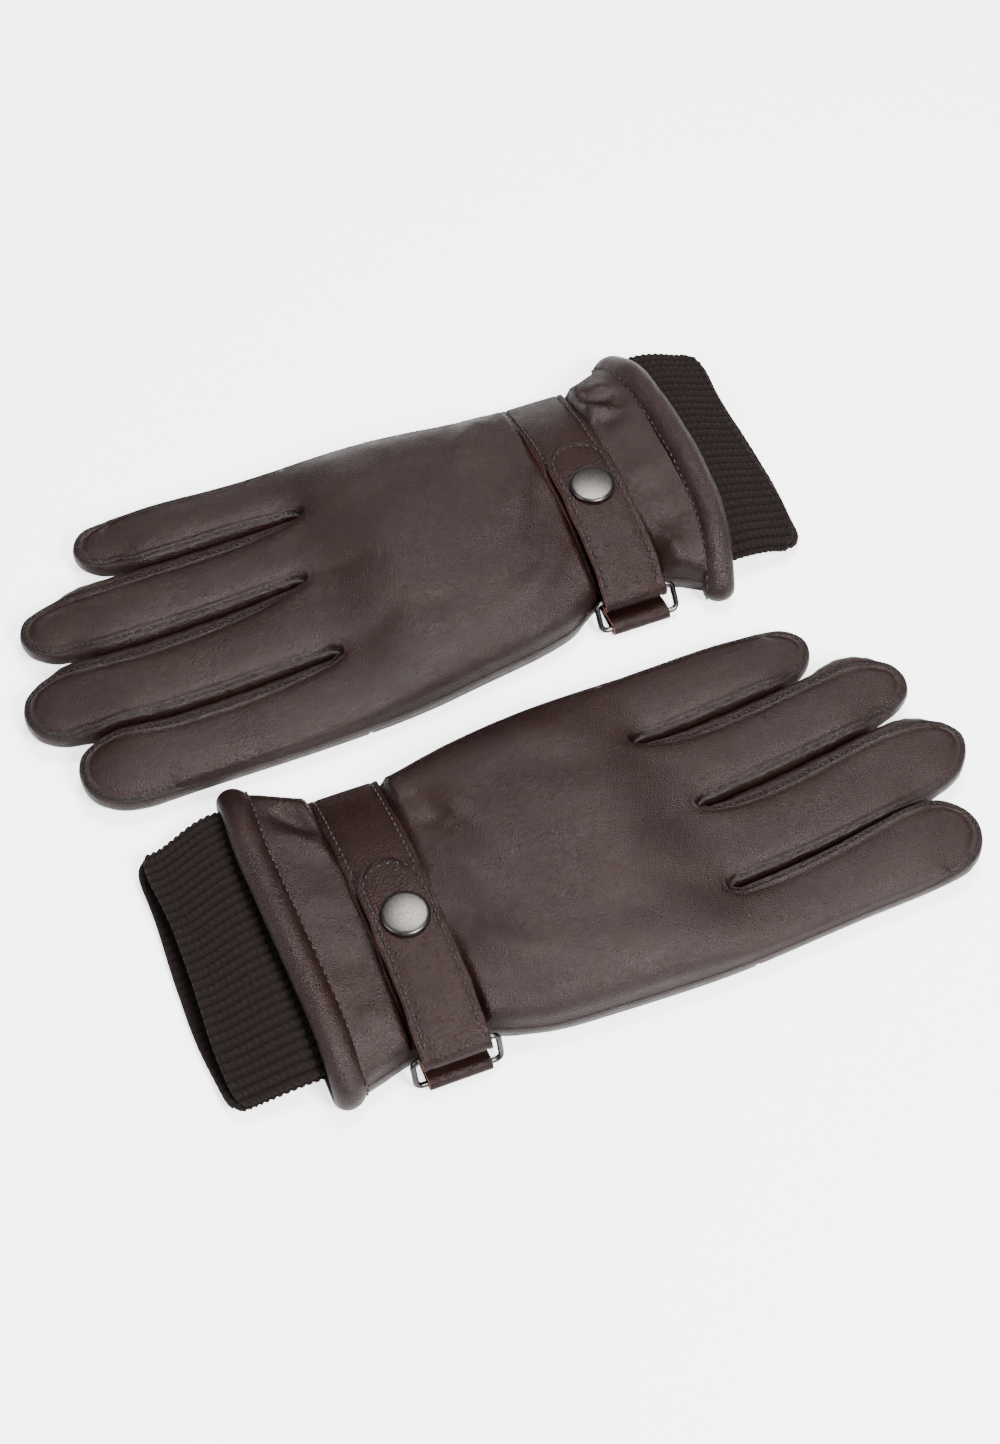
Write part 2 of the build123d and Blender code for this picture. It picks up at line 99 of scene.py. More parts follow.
def soft_light(name, place, size, power):
    """A square softbox aimed at the middle of the table."""
    data = bpy.data.lights.new(name, "AREA")
    data.shape = "SQUARE"
    data.size = size
    data.energy = power
    light = bpy.data.objects.new(name, data)
    light.location = place
    light.rotation_mode = "QUATERNION"
    light.rotation_quaternion = (-Vector(place)).to_track_quat("-Z", "Y")
    bpy.context.scene.collection.objects.link(light)


def make_studio():
    """Pale floor, pale surroundings and three softboxes."""
    world = bpy.data.worlds.new("studio")
    world.use_nodes = True
    background = world.node_tree.nodes["Background"]
    background.inputs["Color"].default_value = (1.0, 1.0, 1.0, 1.0)
    background.inputs["Strength"].default_value = WORLD_LIGHT
    bpy.context.scene.world = world
    for light in LIGHTS:
        soft_light(*light)
    corners = [(x * FLOOR_HALF, y * FLOOR_HALF, 0) for x, y in ((-1, -1), (1, -1), (1, 1), (-1, 1))]
    floor = mesh_object("floor", corners, [(0, 1, 2, 3)], scale=1.0)
    material, shader = new_material("table")
    shader.inputs["Base Color"].default_value = PALE
    shader.inputs["Emission Color"].default_value = PALE
    tree = material.node_tree
    glow = tree.nodes.new("ShaderNodeMath")
    glow.operation = "MULTIPLY"
    glow.inputs[1].default_value = FLOOR_GLOW
    tree.links.new(tree.nodes.new("ShaderNodeLightPath").outputs["Is Camera Ray"], glow.inputs[0])
    tree.links.new(glow.outputs["Value"], shader.inputs["Emission Strength"])
    shader.inputs["Roughness"].default_value = FLOOR_ROUGHNESS
    floor.data.materials.append(material)


# ---------------------------------------------------------------- meshes and materials


def mesh_object(name, points, faces, scale=MM, smooth=True):
    """A new object from points and faces."""
    mesh = bpy.data.meshes.new(name)
    mesh.from_pydata([tuple(float(c) * scale for c in p) for p in points], [], faces)
    mesh.update()
    if smooth:
        mesh.shade_smooth()
    made = bpy.data.objects.new(name, mesh)
    bpy.context.scene.collection.objects.link(made)
    return made


def new_material(name):
    """A node material, and its main shader."""
    material = bpy.data.materials.new(name)
    material.use_nodes = True
    return material, material.node_tree.nodes["Principled BSDF"]


def texture(material, kind, scale, detail=None):
    """A 3D texture in the object's own coordinates, with its scale in features per metre."""
    tree = material.node_tree
    node = tree.nodes.new(kind)
    node.inputs["Scale"].default_value = scale
    if detail is not None:
        node.inputs["Detail"].default_value = detail
    tree.links.new(tree.nodes.new("ShaderNodeTexCoord").outputs["Object"], node.inputs["Vector"])
    return node


def ramp(material, source, stops):
    """A colour ramp on a value."""
    tree = material.node_tree
    node = tree.nodes.new("ShaderNodeValToRGB")
    elements = node.color_ramp.elements
    while len(elements) < len(stops):
        elements.new(0.5)
    for element, (place, colour) in zip(elements, stops):
        element.position = place
        element.color = (*colour, 1.0) if len(colour) == 3 else (colour[0],) * 3 + (1.0,)
    tree.links.new(source, node.inputs["Fac"])
    return node


def bump(material, source, strength, distance, below=None):
    """A bump from a value, laid over another bump."""
    tree = material.node_tree
    node = tree.nodes.new("ShaderNodeBump")
    node.inputs["Strength"].default_value = strength
    node.inputs["Distance"].default_value = distance
    tree.links.new(source, node.inputs["Height"])
    if below is not None:
        tree.links.new(below.outputs["Normal"], node.inputs["Normal"])
    return node


# SEAM_SHADE: painted shade, darkening the leather to about 0.12 in the crease along a seam
SEAM_SHADE = ((0.1, (1.0, 1.0, 1.0)), (0.9, (0.12, 0.10, 0.10)))
# RIB_SHADE: painted shade, darkening the knit to about a third in the grooves between its ribs
RIB_SHADE = ((0.05, (0.35, 0.30, 0.28)), (0.8, (1.0, 1.0, 1.0)))


def shaded(material, colour, attribute, stops):
    """A colour darkened by one of the mesh's own attributes: painted shade."""
    tree = material.node_tree
    value = tree.nodes.new("ShaderNodeAttribute")
    value.attribute_name = attribute
    shade = ramp(material, value.outputs["Fac"], stops)
    both = tree.nodes.new("ShaderNodeMix")
    both.data_type = "RGBA"
    both.blend_type = "MULTIPLY"
    both.inputs["Factor"].default_value = 1.0
    tree.links.new(colour, both.inputs["A"])
    tree.links.new(shade.outputs["Color"], both.inputs["B"])
    return both.outputs["Result"]


def leather_material(name, dark, light, cell, rough, grain, painted_seam_shade=False):
    """Smooth dyed leather: pebbled grain, fine pores, and some lighter, drier patches.

    With seams, it darkens where the mesh says that a seam runs: painted shade in the seam's crease."""
    material, shader = new_material(name)
    tree = material.node_tree
    patches = texture(material, "ShaderNodeTexNoise", 45.0, 5.0)
    tone = ramp(material, patches.outputs["Fac"], ((0.3, dark), (0.72, light)))
    pebbles = texture(material, "ShaderNodeTexVoronoi", 1.0 / cell)
    pebbles.feature = "DISTANCE_TO_EDGE"
    pores = texture(material, "ShaderNodeTexNoise", 2.4 / cell, 3.0)
    wear = texture(material, "ShaderNodeTexNoise", 160.0, 4.0)
    gloss = ramp(material, wear.outputs["Fac"], ((0.3, (rough - 0.05,)), (0.7, (rough + 0.09,))))
    # Painted shade: the colour darkens along the seams' creases, where the mesh's seam attribute says so
    colour = shaded(material, tone.outputs["Color"], "seam", SEAM_SHADE) if painted_seam_shade else tone.outputs["Color"]
    tree.links.new(colour, shader.inputs["Base Color"])
    tree.links.new(gloss.outputs["Color"], shader.inputs["Roughness"])
    folds = bump(material, wear.outputs["Fac"], 0.12, 0.0004)
    pebble_bump = bump(material, pebbles.outputs["Distance"], 0.8 * grain, 0.0004, folds)
    pore_bump = bump(material, pores.outputs["Fac"], 0.8 * grain, 0.0003, pebble_bump)
    tree.links.new(pore_bump.outputs["Normal"], shader.inputs["Normal"])
    shader.inputs["Specular IOR Level"].default_value = 0.27 if painted_seam_shade else 0.17
    shader.inputs["Specular Tint"].default_value = (1.0, 0.91, 0.89, 1.0)
    return material


EDGE_DARK, EDGE_LIGHT = (0.13, 0.036, 0.026), (0.30, 0.098, 0.070)
THREAD_DARK, THREAD_LIGHT = (0.0012, 0.0006, 0.0005), (0.0048, 0.0022, 0.0017)


def edge_material():
    """The strap's raw cut edge: undyed fibres with patches of finish."""
    material, shader = new_material("cut_edge")
    fibres = texture(material, "ShaderNodeTexNoise", 900.0, 4.0)
    tone = ramp(material, fibres.outputs["Fac"], ((0.3, EDGE_DARK), (0.7, EDGE_LIGHT)))
    material.node_tree.links.new(tone.outputs["Color"], shader.inputs["Base Color"])
    rough = bump(material, fibres.outputs["Fac"], 0.6, 0.0003)
    material.node_tree.links.new(rough.outputs["Normal"], shader.inputs["Normal"])
    shader.inputs["Roughness"].default_value = 0.8
    return material


def fabric_material(name, dark, light, scale, fuzz, relief=None):
    """A fuzzy fabric of fine fibres, darker between its ribs where the mesh says how high a point is:
    painted shade.
    """
    material, shader = new_material(name)
    tree = material.node_tree
    fibres = texture(material, "ShaderNodeTexNoise", scale, 6.0)
    tone = ramp(material, fibres.outputs["Fac"], ((0.3, dark), (0.7, light)))
    colour = tone.outputs["Color"]
    # Painted shade between the ribs, read from the mesh's relief attribute
    if relief:
        colour = shaded(material, colour, relief, RIB_SHADE)
    tree.links.new(colour, shader.inputs["Base Color"])
    rough = bump(material, fibres.outputs["Fac"], 0.7, 0.0004)
    tree.links.new(rough.outputs["Normal"], shader.inputs["Normal"])
    shader.inputs["Roughness"].default_value = 0.95
    shader.inputs["Specular IOR Level"].default_value = 0.2
    shader.inputs["Sheen Weight"].default_value = fuzz
    shader.inputs["Sheen Roughness"].default_value = 0.5
    shader.inputs["Sheen Tint"].default_value = (0.55, 0.45, 0.38, 1.0)
    return material


def thread_material():
    """Dark sewing thread, twisted."""
    material, shader = new_material("thread")
    twist = texture(material, "ShaderNodeTexNoise", 2500.0, 2.0)
    tone = ramp(material, twist.outputs["Fac"], ((0.3, THREAD_DARK), (0.7, THREAD_LIGHT)))
    material.node_tree.links.new(tone.outputs["Color"], shader.inputs["Base Color"])
    shader.inputs["Roughness"].default_value = 0.55
    return material


def metal_material(name, dark, light, rough):
    """Antiqued metal with fine brushing and tarnish."""
    material, shader = new_material(name)
    tree = material.node_tree
    tarnish = texture(material, "ShaderNodeTexNoise", 320.0, 6.0)
    tone = ramp(material, tarnish.outputs["Fac"], ((0.3, dark), (0.7, light)))
    tree.links.new(tone.outputs["Color"], shader.inputs["Base Color"])
    scratches = texture(material, "ShaderNodeTexNoise", 2600.0, 3.0)
    gloss = ramp(material, scratches.outputs["Fac"], ((0.3, (rough - 0.07,)), (0.7, (rough + 0.1,))))
    tree.links.new(gloss.outputs["Color"], shader.inputs["Roughness"])
    fine = bump(material, scratches.outputs["Fac"], 0.05, 0.00005)
    tree.links.new(fine.outputs["Normal"], shader.inputs["Normal"])
    shader.inputs["Metallic"].default_value = 1.0
    return material


# Dark and light tone, the size of a pebble of grain in metres, roughness, depth of grain and seams (painted
# shade along the seams' creases)
GLOVE_LEATHER = ((0.0056, 0.0016, 0.0012), (0.0094, 0.0030, 0.0023), 0.0009, 0.35, 0.9, True)
STRAP_LEATHER = ((0.0066, 0.0020, 0.0015), (0.0108, 0.0035, 0.0028), 0.0012, 0.40, 0.9)
# Dark and light tone, fibres per metre, fuzz and the mesh's relief (painted shade between the ribs)
RIB_KNIT = ((0.0030, 0.0012, 0.0008), (0.0098, 0.0042, 0.0029), 1100.0, 0.02, "relief")
FLEECE = ((0.010, 0.0075, 0.0062), (0.024, 0.018, 0.015), 900.0, 0.2)
# Dark and light tone, and roughness
SNAP_METAL = ((0.050, 0.0465, 0.044), (0.055, 0.051, 0.0485), 0.32)
RING_METAL = ((0.035, 0.033, 0.032), (0.075, 0.072, 0.070), 0.25)

MATERIALS = {
    "leather": leather_material("glove_leather", *GLOVE_LEATHER),
    "strap_leather": leather_material("strap_leather", *STRAP_LEATHER),
    "cut_edge": edge_material(),
    "rib_knit": fabric_material("rib_knit", *RIB_KNIT),
    "lining": fabric_material("lining", *FLEECE),
    "thread": thread_material(),
    "snap_metal": metal_material("snap_metal", *SNAP_METAL),
    "ring_metal": metal_material("ring_metal", *RING_METAL),
}


# ---------------------------------------------------------------- drawing helpers


def spline(points, step):
    """A smooth open curve through points, sampled about every step."""
    given = np.array(points, float)
    padded = np.vstack((2 * given[0] - given[1], given, 2 * given[-1] - given[-2]))
    sampled = []
    for a, b, c, d in zip(padded, padded[1:], padded[2:], padded[3:]):
        spans = [max(np.linalg.norm(q - p), 1e-6) ** 0.5 for p, q in ((a, b), (b, c), (c, d))]
        knots = np.cumsum([0.0] + spans)
        count = max(2, int(np.linalg.norm(c - b) / step * 3))
        t = np.linspace(knots[1], knots[2], count, endpoint=False)[:, None]
        ab = ((knots[1] - t) * a + (t - knots[0]) * b) / (knots[1] - knots[0])
        bc = ((knots[2] - t) * b + (t - knots[1]) * c) / (knots[2] - knots[1])
        cd = ((knots[3] - t) * c + (t - knots[2]) * d) / (knots[3] - knots[2])
        abc = ((knots[2] - t) * ab + (t - knots[0]) * bc) / (knots[2] - knots[0])
        bcd = ((knots[3] - t) * bc + (t - knots[1]) * cd) / (knots[3] - knots[1])
        sampled.append(((knots[2] - t) * abc + (t - knots[1]) * bcd) / (knots[2] - knots[1]))
    return resample(np.vstack(sampled + [given[-1:]]), step)


def lengths_along(points):
    """How far along a polyline each of its points is."""
    return np.concatenate(([0.0], np.cumsum(np.linalg.norm(np.diff(points, axis=0), axis=1))))


def resample(points, step):
    """The same polyline with evenly spaced points."""
    lengths = lengths_along(points)
    count = max(2, int(round(lengths[-1] / step)) + 1)
    places = np.linspace(0.0, lengths[-1], count)
    return np.column_stack([np.interp(places, lengths, points[:, k]) for k in range(points.shape[1])])


def smoothed(values, reach, closed=True):
    """Values averaged over reach neighbours each way."""
    values = np.asarray(values, float)
    mode = "wrap" if closed else "edge"
    wide = np.pad(values, (reach, reach), mode=mode)
    window = np.hanning(2 * reach + 3)[1:-1]
    return np.convolve(wide, window / window.sum(), mode="valid")


def inside(points, polygon):
    """Which points lie inside a polygon."""
    x, y = points[:, 0], points[:, 1]
    result = np.zeros(len(points), bool)
    for (ax, ay), (bx, by) in zip(polygon, np.roll(polygon, -1, axis=0)):
        crossing = ((ay > y) != (by > y))
        if ay != by:
            result ^= crossing & (x < (bx - ax) * (y - ay) / (by - ay) + ax)
    return result


def nearest(points, targets):
    """Distance from each point to the nearest target, and which it is."""
    tree = KDTree(len(targets))
    for k, (x, y) in enumerate(targets):
        tree.insert((x, y, 0.0), k)
    tree.balance()
    found = [tree.find((x, y, 0.0)) for x, y in points]
    return np.array([f[2] for f in found]), np.array([f[1] for f in found], int)


def solve_panel(points, triangles, fixed, values, load):
    """Solves a stretched membrane on a flat panel: fixed points hold values, and load lifts the rest."""
    count = len(points)
    rows, columns, weights = [], [], []
    areas = np.zeros(count)
    corners = points[triangles]
    cross = np.cross(corners[:, 1] - corners[:, 0], corners[:, 2] - corners[:, 0])
    for k in range(3):
        i, j, opposite = triangles[:, k], triangles[:, (k + 1) % 3], triangles[:, (k + 2) % 3]
        u, v = points[i] - points[opposite], points[j] - points[opposite]
        cotangent = np.clip((u * v).sum(axis=1) / np.maximum(np.abs(cross), 1e-9), 0.02, 10.0) / 2
        rows += [i, j]
        columns += [j, i]
        weights += [cotangent, cotangent]
        np.add.at(areas, triangles[:, k], np.abs(cross) / 6)
    rows, columns, weights = np.concatenate(rows), np.concatenate(columns), np.concatenate(weights)
    diagonal = np.bincount(rows, weights, count)
    free = ~fixed

    def apply(x):
        return diagonal * x - np.bincount(rows, weights * x[columns], count)

    x = np.where(fixed, values, 0.0)
    residual = np.where(free, load * areas - apply(x), 0.0)
    z = residual / diagonal
    direction = z.copy()
    rho = residual @ z
    for _ in range(900):
        pushed = np.where(free, apply(direction), 0.0)
        alpha = rho / (direction @ pushed)
        x += alpha * direction
        residual -= alpha * pushed
        z = residual / diagonal
        fresh = residual @ z
        if fresh < 1e-10:
            break
        direction = z + fresh / rho * direction
        rho = fresh
    return x


# ---------------------------------------------------------------- the gloves' patterns

HEM_EDGE = -30.0

# Each outline runs from the cuff along the index finger's side, round the fingers and back along the little
# finger's side. Kinds: fold (no seam), tip, wall (a fourchette), crotch and seam.
LEFT_OUTLINE = (
    ("fold", (
        (HEM_EDGE, -41), (-22, -38.8), (-12, -36.0), (1, -35.0), (12, -35.8), (20, -38.6), (30, -41.2),
        (55, -42.8), (86, -43.6), (101, -43.0), (131, -41.0), (152, -40.0), (160, -39.2),
    )),
    ("tip", (
        (160, -39.2), (167, -37.4), (172.6, -33.2), (175.4, -27), (174.6, -21), (170.6, -16.6),
        (164.5, -14.8),
    )),
    ("wall", ((164.5, -14.8), (154.5, -15.6), (144.5, -17.4), (129.5, -20.2), (109.5, -22.4), (98, -22.8))),
    ("crotch", ((98, -22.8), (95.2, -20.4), (98, -17.9))),
    ("wall", ((98, -17.9), (108, -16.9), (124.5, -15.9), (144.5, -14.0), (159.5, -11.8))),
    ("tip", ((159.5, -11.8), (170, -9.6), (179, -6), (184.3, 0), (185.8, 5.5), (182.8, 10.2), (176, 12.4))),
    ("wall", (
        (176, 12.4), (164.7, 12.6), (154.7, 11.6), (139.7, 9.0), (124.7, 6.7), (109.7, 6.0), (101, 7),
    )),
    ("crotch", ((101, 7), (98, 9.2), (101, 11.6))),
    ("wall", ((101, 11.6), (112, 15.0), (130, 17.2), (150, 19.2), (162, 21))),
    ("tip", ((162, 21), (171, 22.6), (177, 26.2), (179, 31.4), (177.3, 36.4), (171, 39.4))),
    ("wall", ((171, 39.4), (163, 40), (152, 38.6), (138, 36.8), (120, 34.8), (104, 34.2), (93, 35.4))),
    ("crotch", ((93, 35.4), (87.6, 37.3), (93, 39.6))),
    ("wall", ((93, 39.6), (110, 42.2), (130, 44.2), (144, 45.4))),
    ("tip", ((144, 45.4), (150.5, 46.8), (155.0, 51.2), (155.6, 56.6), (151.4, 61.4), (144, 63.6))),
    ("seam", (
        (144, 63.6), (126, 64.6), (104, 64.0), (80, 62.8), (55, 61.4), (32, 58.2), (18, 55.4),
        (10, 54.2), (0, 54.2), (-9, 55.6), (-15, 58.0), (-23, 62.6), (HEM_EDGE, 67),
    )),
)
RIGHT_OUTLINE = (
    ("fold", (
        (HEM_EDGE, -43.5), (-24, -38.8), (-16, -33.6), (-8, -32), (8, -32), (15, -35.4), (22, -40.4),
        (34, -43.8), (54, -47.0), (80, -50.8), (110, -52.4), (140, -52.6), (160, -52.6),
    )),
    ("tip", (
        (160, -52.6), (170, -52.4), (178, -50.4), (183.6, -45.6), (185.4, -38.6), (183.4, -31.6),
        (178, -28.2), (171, -27.6),
    )),
    ("wall", ((171, -27.6), (158, -31.0), (140, -31.6), (122, -30.8), (106, -28.8), (99.5, -27.8))),
    ("crotch", ((99.5, -27.8), (96.4, -25.3), (99.5, -23.0))),
    ("wall", ((99.5, -23.0), (113, -21.8), (140, -22.2), (163, -22.6), (178, -22.6))),
    ("tip", (
        (178, -22.6), (187, -21.6), (193, -17.6), (195.2, -11.4), (193.6, -4.6), (188.6, -0.6),
        (181, 0.6),
    )),
    ("wall", ((181, 0.6), (168, -1.4), (153, -2.2), (138, -1.6), (120, 0.0), (101.5, 3.4))),
    ("crotch", ((101.5, 3.4), (97.4, 5.8), (101.5, 7.8))),
    ("wall", ((101.5, 7.8), (112, 8.9), (133, 8.8), (155, 8.8), (172, 9.2))),
    ("tip", ((172, 9.2), (181, 10.4), (186.6, 14.6), (188.2, 20), (186.0, 25.2), (180, 27.8), (172, 28.0))),
    ("wall", ((172, 28.0), (160, 27.0), (135, 27.4), (113, 28.0), (95, 30.0))),
    ("crotch", ((95, 30.0), (89.6, 31.8), (95, 34.4))),
    ("wall", ((95, 34.4), (113, 37.0), (133, 37.0), (150, 37.8))),
    ("tip", ((150, 37.8), (157, 39.2), (161.6, 43.2), (162.4, 48.6), (159.0, 53.6), (150, 55.8))),
    ("seam", (
        (150, 55.8), (133, 56.2), (113, 55.2), (90, 54.8), (70, 54.6), (52, 53.2), (36, 51.2),
        (20, 49.6), (10, 49.2), (0, 49.4), (-12, 50.6), (-18, 52.6), (-25, 56.0), (HEM_EDGE, 58.5),
    )),
)

# Soft folds of the leather: the ridge's or dent's height, its half width, and its line
LEFT_FOLDS = (
    (-3.4, 3.4, ((-25, 54), (-18.5, 47), (-11.5, 39))),
    (1.7, 3.2, ((-26, 45), (-19, 39), (-12.5, 31))),
    (-2.4, 4.2, ((14, 44), (20, 38), (24, 28))),
    (0.99, 5.0, ((-24, 20), (-14, 12))),
    (-0.74, 4.5, ((-26, -4), (-14, -8))),
    (1.12, 4.5, ((-25, -26), (-14, -24))),
    (1.24, 4.0, ((14, 42), (24, 36), (30, 26))),
    (-1.12, 3.2, ((14, 33), (24, 27), (29, 16))),
    (1.05, 4.0, ((13.5, 22), (22, 14), (27, 2))),
    (-0.93, 3.6, ((13, 6), (21, -4), (30, -12))),
    (1.12, 4.4, ((14, -10), (24, -18), (38, -24))),
    (-0.87, 4.0, ((14, -22), (26, -30), (42, -34))),
    (-0.62, 6.0, ((44, 44), (62, 34), (78, 30))),
    (0.74, 8.0, ((34, 50), (58, 46), (80, 50))),
    (-0.81, 4.0, ((97, 9), (84, 6), (74, 0))),
    (-0.62, 5.0, ((94, -20), (80, -16), (68, -8))),
    (0.87, 9.0, ((52, -30), (78, -34), (100, -33))),
    (-0.56, 5.0, ((54, -18), (74, -22))),
)
RIGHT_FOLDS = (
    (-2.4, 3.0, ((-12, 44), (-17, 40), (-24, 37))),
    (1.8, 2.4, ((-11.5, 37), (-17, 33.5), (-24, 31))),
    (-2.2, 2.4, ((-12.5, -18), (-13, -28), (-14, -37))),
    (1.8, 3.0, ((-24, -36), (-18, -33), (-17, -24))),
    (1.49, 5.0, ((16, 46), (28, 40), (33, 28))),
    (0.99, 4.4, ((13.5, 18), (22, 10), (27, -2))),
    (-0.93, 3.6, ((13, 8), (20, -2), (28, -14))),
    (1.36, 4.6, ((14, -12), (24, -24), (40, -32))),
    (-1.12, 4.0, ((15, -22), (26, -32), (44, -40))),
    (1.36, 4.6, ((-25, 46), (-14, 38))),
    (-1.12, 3.4, ((-26, 34), (-14, 27))),
    (0.87, 5.0, ((-25, 6), (-14, 2))),
    (-0.99, 4.0, ((-26, -18), (-14, -16))),
    (1.12, 4.0, ((-25, -30), (-14, -26))),
    (-0.62, 6.0, ((40, 38), (60, 26), (82, 22))),
    (0.81, 9.0, ((50, -34), (76, -40), (100, -40))),
    (-0.62, 5.0, ((54, -22), (76, -24))),
    (-0.68, 4.0, ((96, 6), (84, 4), (74, 0))),
    (-0.62, 5.0, ((95, -25), (80, -22), (68, -14))),
)

# Heights of the outline: back seam, palm seam and how far the strip between them stands out
EDGE = {
    "fold": (7.4, 4.6, 0.35),
    "tip": (8.8, 4.0, 1.3),
    "wall": (12.4, 3.0, 5.4),
    "crotch": (12.4, 3.2, 0.3),
    "seam": (7.8, 4.4, 0.9),
}
RISE_PLACES = (HEM_EDGE, -18, -12, 0, 12, 20, 32, 55, 76, 95, 120, 200)
RISES = (12.6, 11.0, 10.6, 10.6, 10.6, 13.0, 16.0, 17.6, 15.0, 11.0, 9.5, 8.5)
STEEPNESS = 0.72
FINGER_RISE = 3.3
FINGER_ROUND = 10.5


class Glove:
    """One glove's places."""

    def __init__(self, name, side, outline, folds, roots):
        low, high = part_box(f"{name}_snap_cap")
        self.name = name
        self.side = side
        self.origin = (np.array(low) + np.array(high))[:2] / 2 / MM
        self.outline = outline
        self.folds = folds
        self.roots = roots  # the middle of each finger's root and of its tip

    def place(self, points):
        """Points of the glove's own frame in the pair's frame."""
        points = np.array(points, float)
        points[:, 0] = self.origin[0] + self.side * points[:, 0]
        points[:, 1] += self.origin[1]
        return points

    def faces(self, faces):
        """Faces drawn in the glove's frame, turned the right way out for its side."""
        return [tuple(f) if self.side > 0 else tuple(reversed(f)) for f in faces]

    def body(self, part):
        return f"{self.name}_{part}"


FINGERS = ("index", "middle", "ring", "little")
LEFT = Glove("left", 1, LEFT_OUTLINE, LEFT_FOLDS, {
    "index": ((94.5, -32.0), (175.5, -26.0)),
    "middle": ((95.5, -7.0), (185.5, 5.5)),
    "ring": ((91.5, 22.0), (179.0, 34.0)),
    "little": ((87.0, 50.0), (155.5, 54.5)),
})
RIGHT = Glove("right", -1, RIGHT_OUTLINE, RIGHT_FOLDS, {
    "index": ((97.0, -39.5), (185.5, -39.5)),
    "middle": ((97.5, -11.5), (195.0, -10.0)),
    "ring": ((94.5, 16.5), (188.5, 21.5)),
    "little": ((90.5, 42.0), (162.0, 46.5)),
})


# ---------------------------------------------------------------- the strap's course

STRAP_THICK = 1.6
WIRE = 0.9
FOLD_RADIUS = 2.6
STRAP_APEX = {"left": 7.0, "right": 8.75}  # across, where the fixed run is highest
FLAP_APEX = 2.2
FLAP_TIP = 21.0
BASE_END = 4.3  # from the ring's bar to the end of the fixed run
STRAP_REACH = 60.0  # the fixed run's arc is used this far each way
UNDER_STRAP = 0.15  # between the strap and the leather
HELD_HALF = 13.0  # half the width of leather that the strap holds down
HELD_EDGE = 2.5


class Arc:
    """A run of strap seen along the glove: an arc with its highest point at (apex, top)."""

    def __init__(self, apex, top, radius):
        self.apex, self.top, self.radius = apex, top, radius

    def point(self, across, offset=0.0):
        turn = math.asin((across - self.apex) / self.radius)
        reach = self.radius + offset
        return (self.apex + reach * math.sin(turn), self.top - self.radius + reach * math.cos(turn))

    def normal(self, across):
        turn = math.asin((across - self.apex) / self.radius)
        return (math.sin(turn), math.cos(turn))


def node_box(glove, part):
    """A CAD node's lowest and highest corners in the glove's own frame, in millimetres."""
    low, high = (np.array(c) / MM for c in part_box(f"{glove.name}_{part}"))
    low[:2] -= glove.origin
    high[:2] -= glove.origin
    if glove.side < 0:
        low[0], high[0] = -high[0], -low[0]
    return low, high


def ring_bars(glove):
    """(across, height) of the ring's lower and upper bars' axes."""
    low, high = node_box(glove, "strap_ring")
    return (low[1] + WIRE, low[2] + WIRE), (high[1] - WIRE, high[2] - WIRE)


def strap_arcs(glove):
    """The fixed run's arc and the flap's, both tangent to the fold round the ring's upper bar."""
    bar = ring_bars(glove)[1]
    base_top = node_box(glove, "strap_base")[1][2] - STRAP_THICK / 2
    flap_top = node_box(glove, "strap_flap")[1][2] - STRAP_THICK / 2
    base_apex = STRAP_APEX[glove.name]
    run, drop = bar[0] - base_apex, bar[1] - base_top
    base_radius = (run**2 + drop**2 - FOLD_RADIUS**2) / (2 * FOLD_RADIUS - 2 * drop)
    run, drop = bar[0] - FLAP_APEX, bar[1] - flap_top
    flap_radius = (run**2 + drop**2 - FOLD_RADIUS**2) / (-2 * drop - 2 * FOLD_RADIUS)
    return Arc(base_apex, base_top, base_radius), Arc(FLAP_APEX, flap_top, flap_radius)


def under_strap(glove, points, heights):
    """Holds the leather down where the strap crosses it."""
    base = strap_arcs(glove)[0]
    across = np.clip(points[:, 1], base.apex - STRAP_REACH, base.apex + STRAP_REACH)
    middle = base.top - base.radius + np.sqrt(base.radius**2 - (across - base.apex) ** 2)
    lid = middle - STRAP_THICK / 2 - UNDER_STRAP
    held = 1 - ease(np.abs(points[:, 0]), HELD_HALF - HELD_EDGE, HELD_HALF)
    return heights + (lid - heights) * held


# ---------------------------------------------------------------- the leather

OUTLINE_STEP = 1.0
PANEL_STEP = 1.35
NEAR_SHIFT = 0.62  # how much of a wall's bulge goes into its outline on the side that faces the camera
SEAM_INSETS = (0.5, 0.95, 1.45, 2.0, 2.6, 3.3)  # rows of points beside a seam
KIND_BLEND = 3  # points each way over which one kind of edge turns into the next
EDGE_BLEND = 11  # the same for the edge's heights and bulge
GAP_CONE = 0.6  # cosine of the angle within which another point of the outline counts as ahead
GAP_STEPS = 4
GAP_CLEAR, GAP_LEAST = 0.1, 0.15
FAR_AWAY = 99.0

# The back's own relief: folds fade near the outline, and ripples are (height, length, seed)
EDGE_CALM = 7.0
RIPPLES = ((0.5, 30.0, 1), (0.10, 10.0, 3))
STRAP_PRESS = 2.5
PUCKER = 0.07
PUCKER_REACH = 2.6
FINGERS_START = (66, 100)  # along: where the fingers' rounder backs begin
# Relief beside the seams: (height, distance from the outline, width)
FINGER_SEAM = ((0.42, 0.8, 0.45), (-0.30, 2.3, 0.7))
SIDE_SEAM = ((0.35, 1.5, 0.5), (0.3, 3.2, 0.6), (-0.5, 2.3, 0.4))
SEAM_LINE, STRIP_LINE = 0.5, 0.45  # half widths of the painted shade along a seam's crease

# The palm
SAG, SAG_REACH = 3.4, 3.0
FLOOR_GAP = 0.15
HOLLOW = 3.0  # least height inside the leather
THUMB_LIFT = 10.4
THUMB_ALONG = (17, 31, 77, 90)
THUMB_ACROSS = (-43, -30, 14, 44)


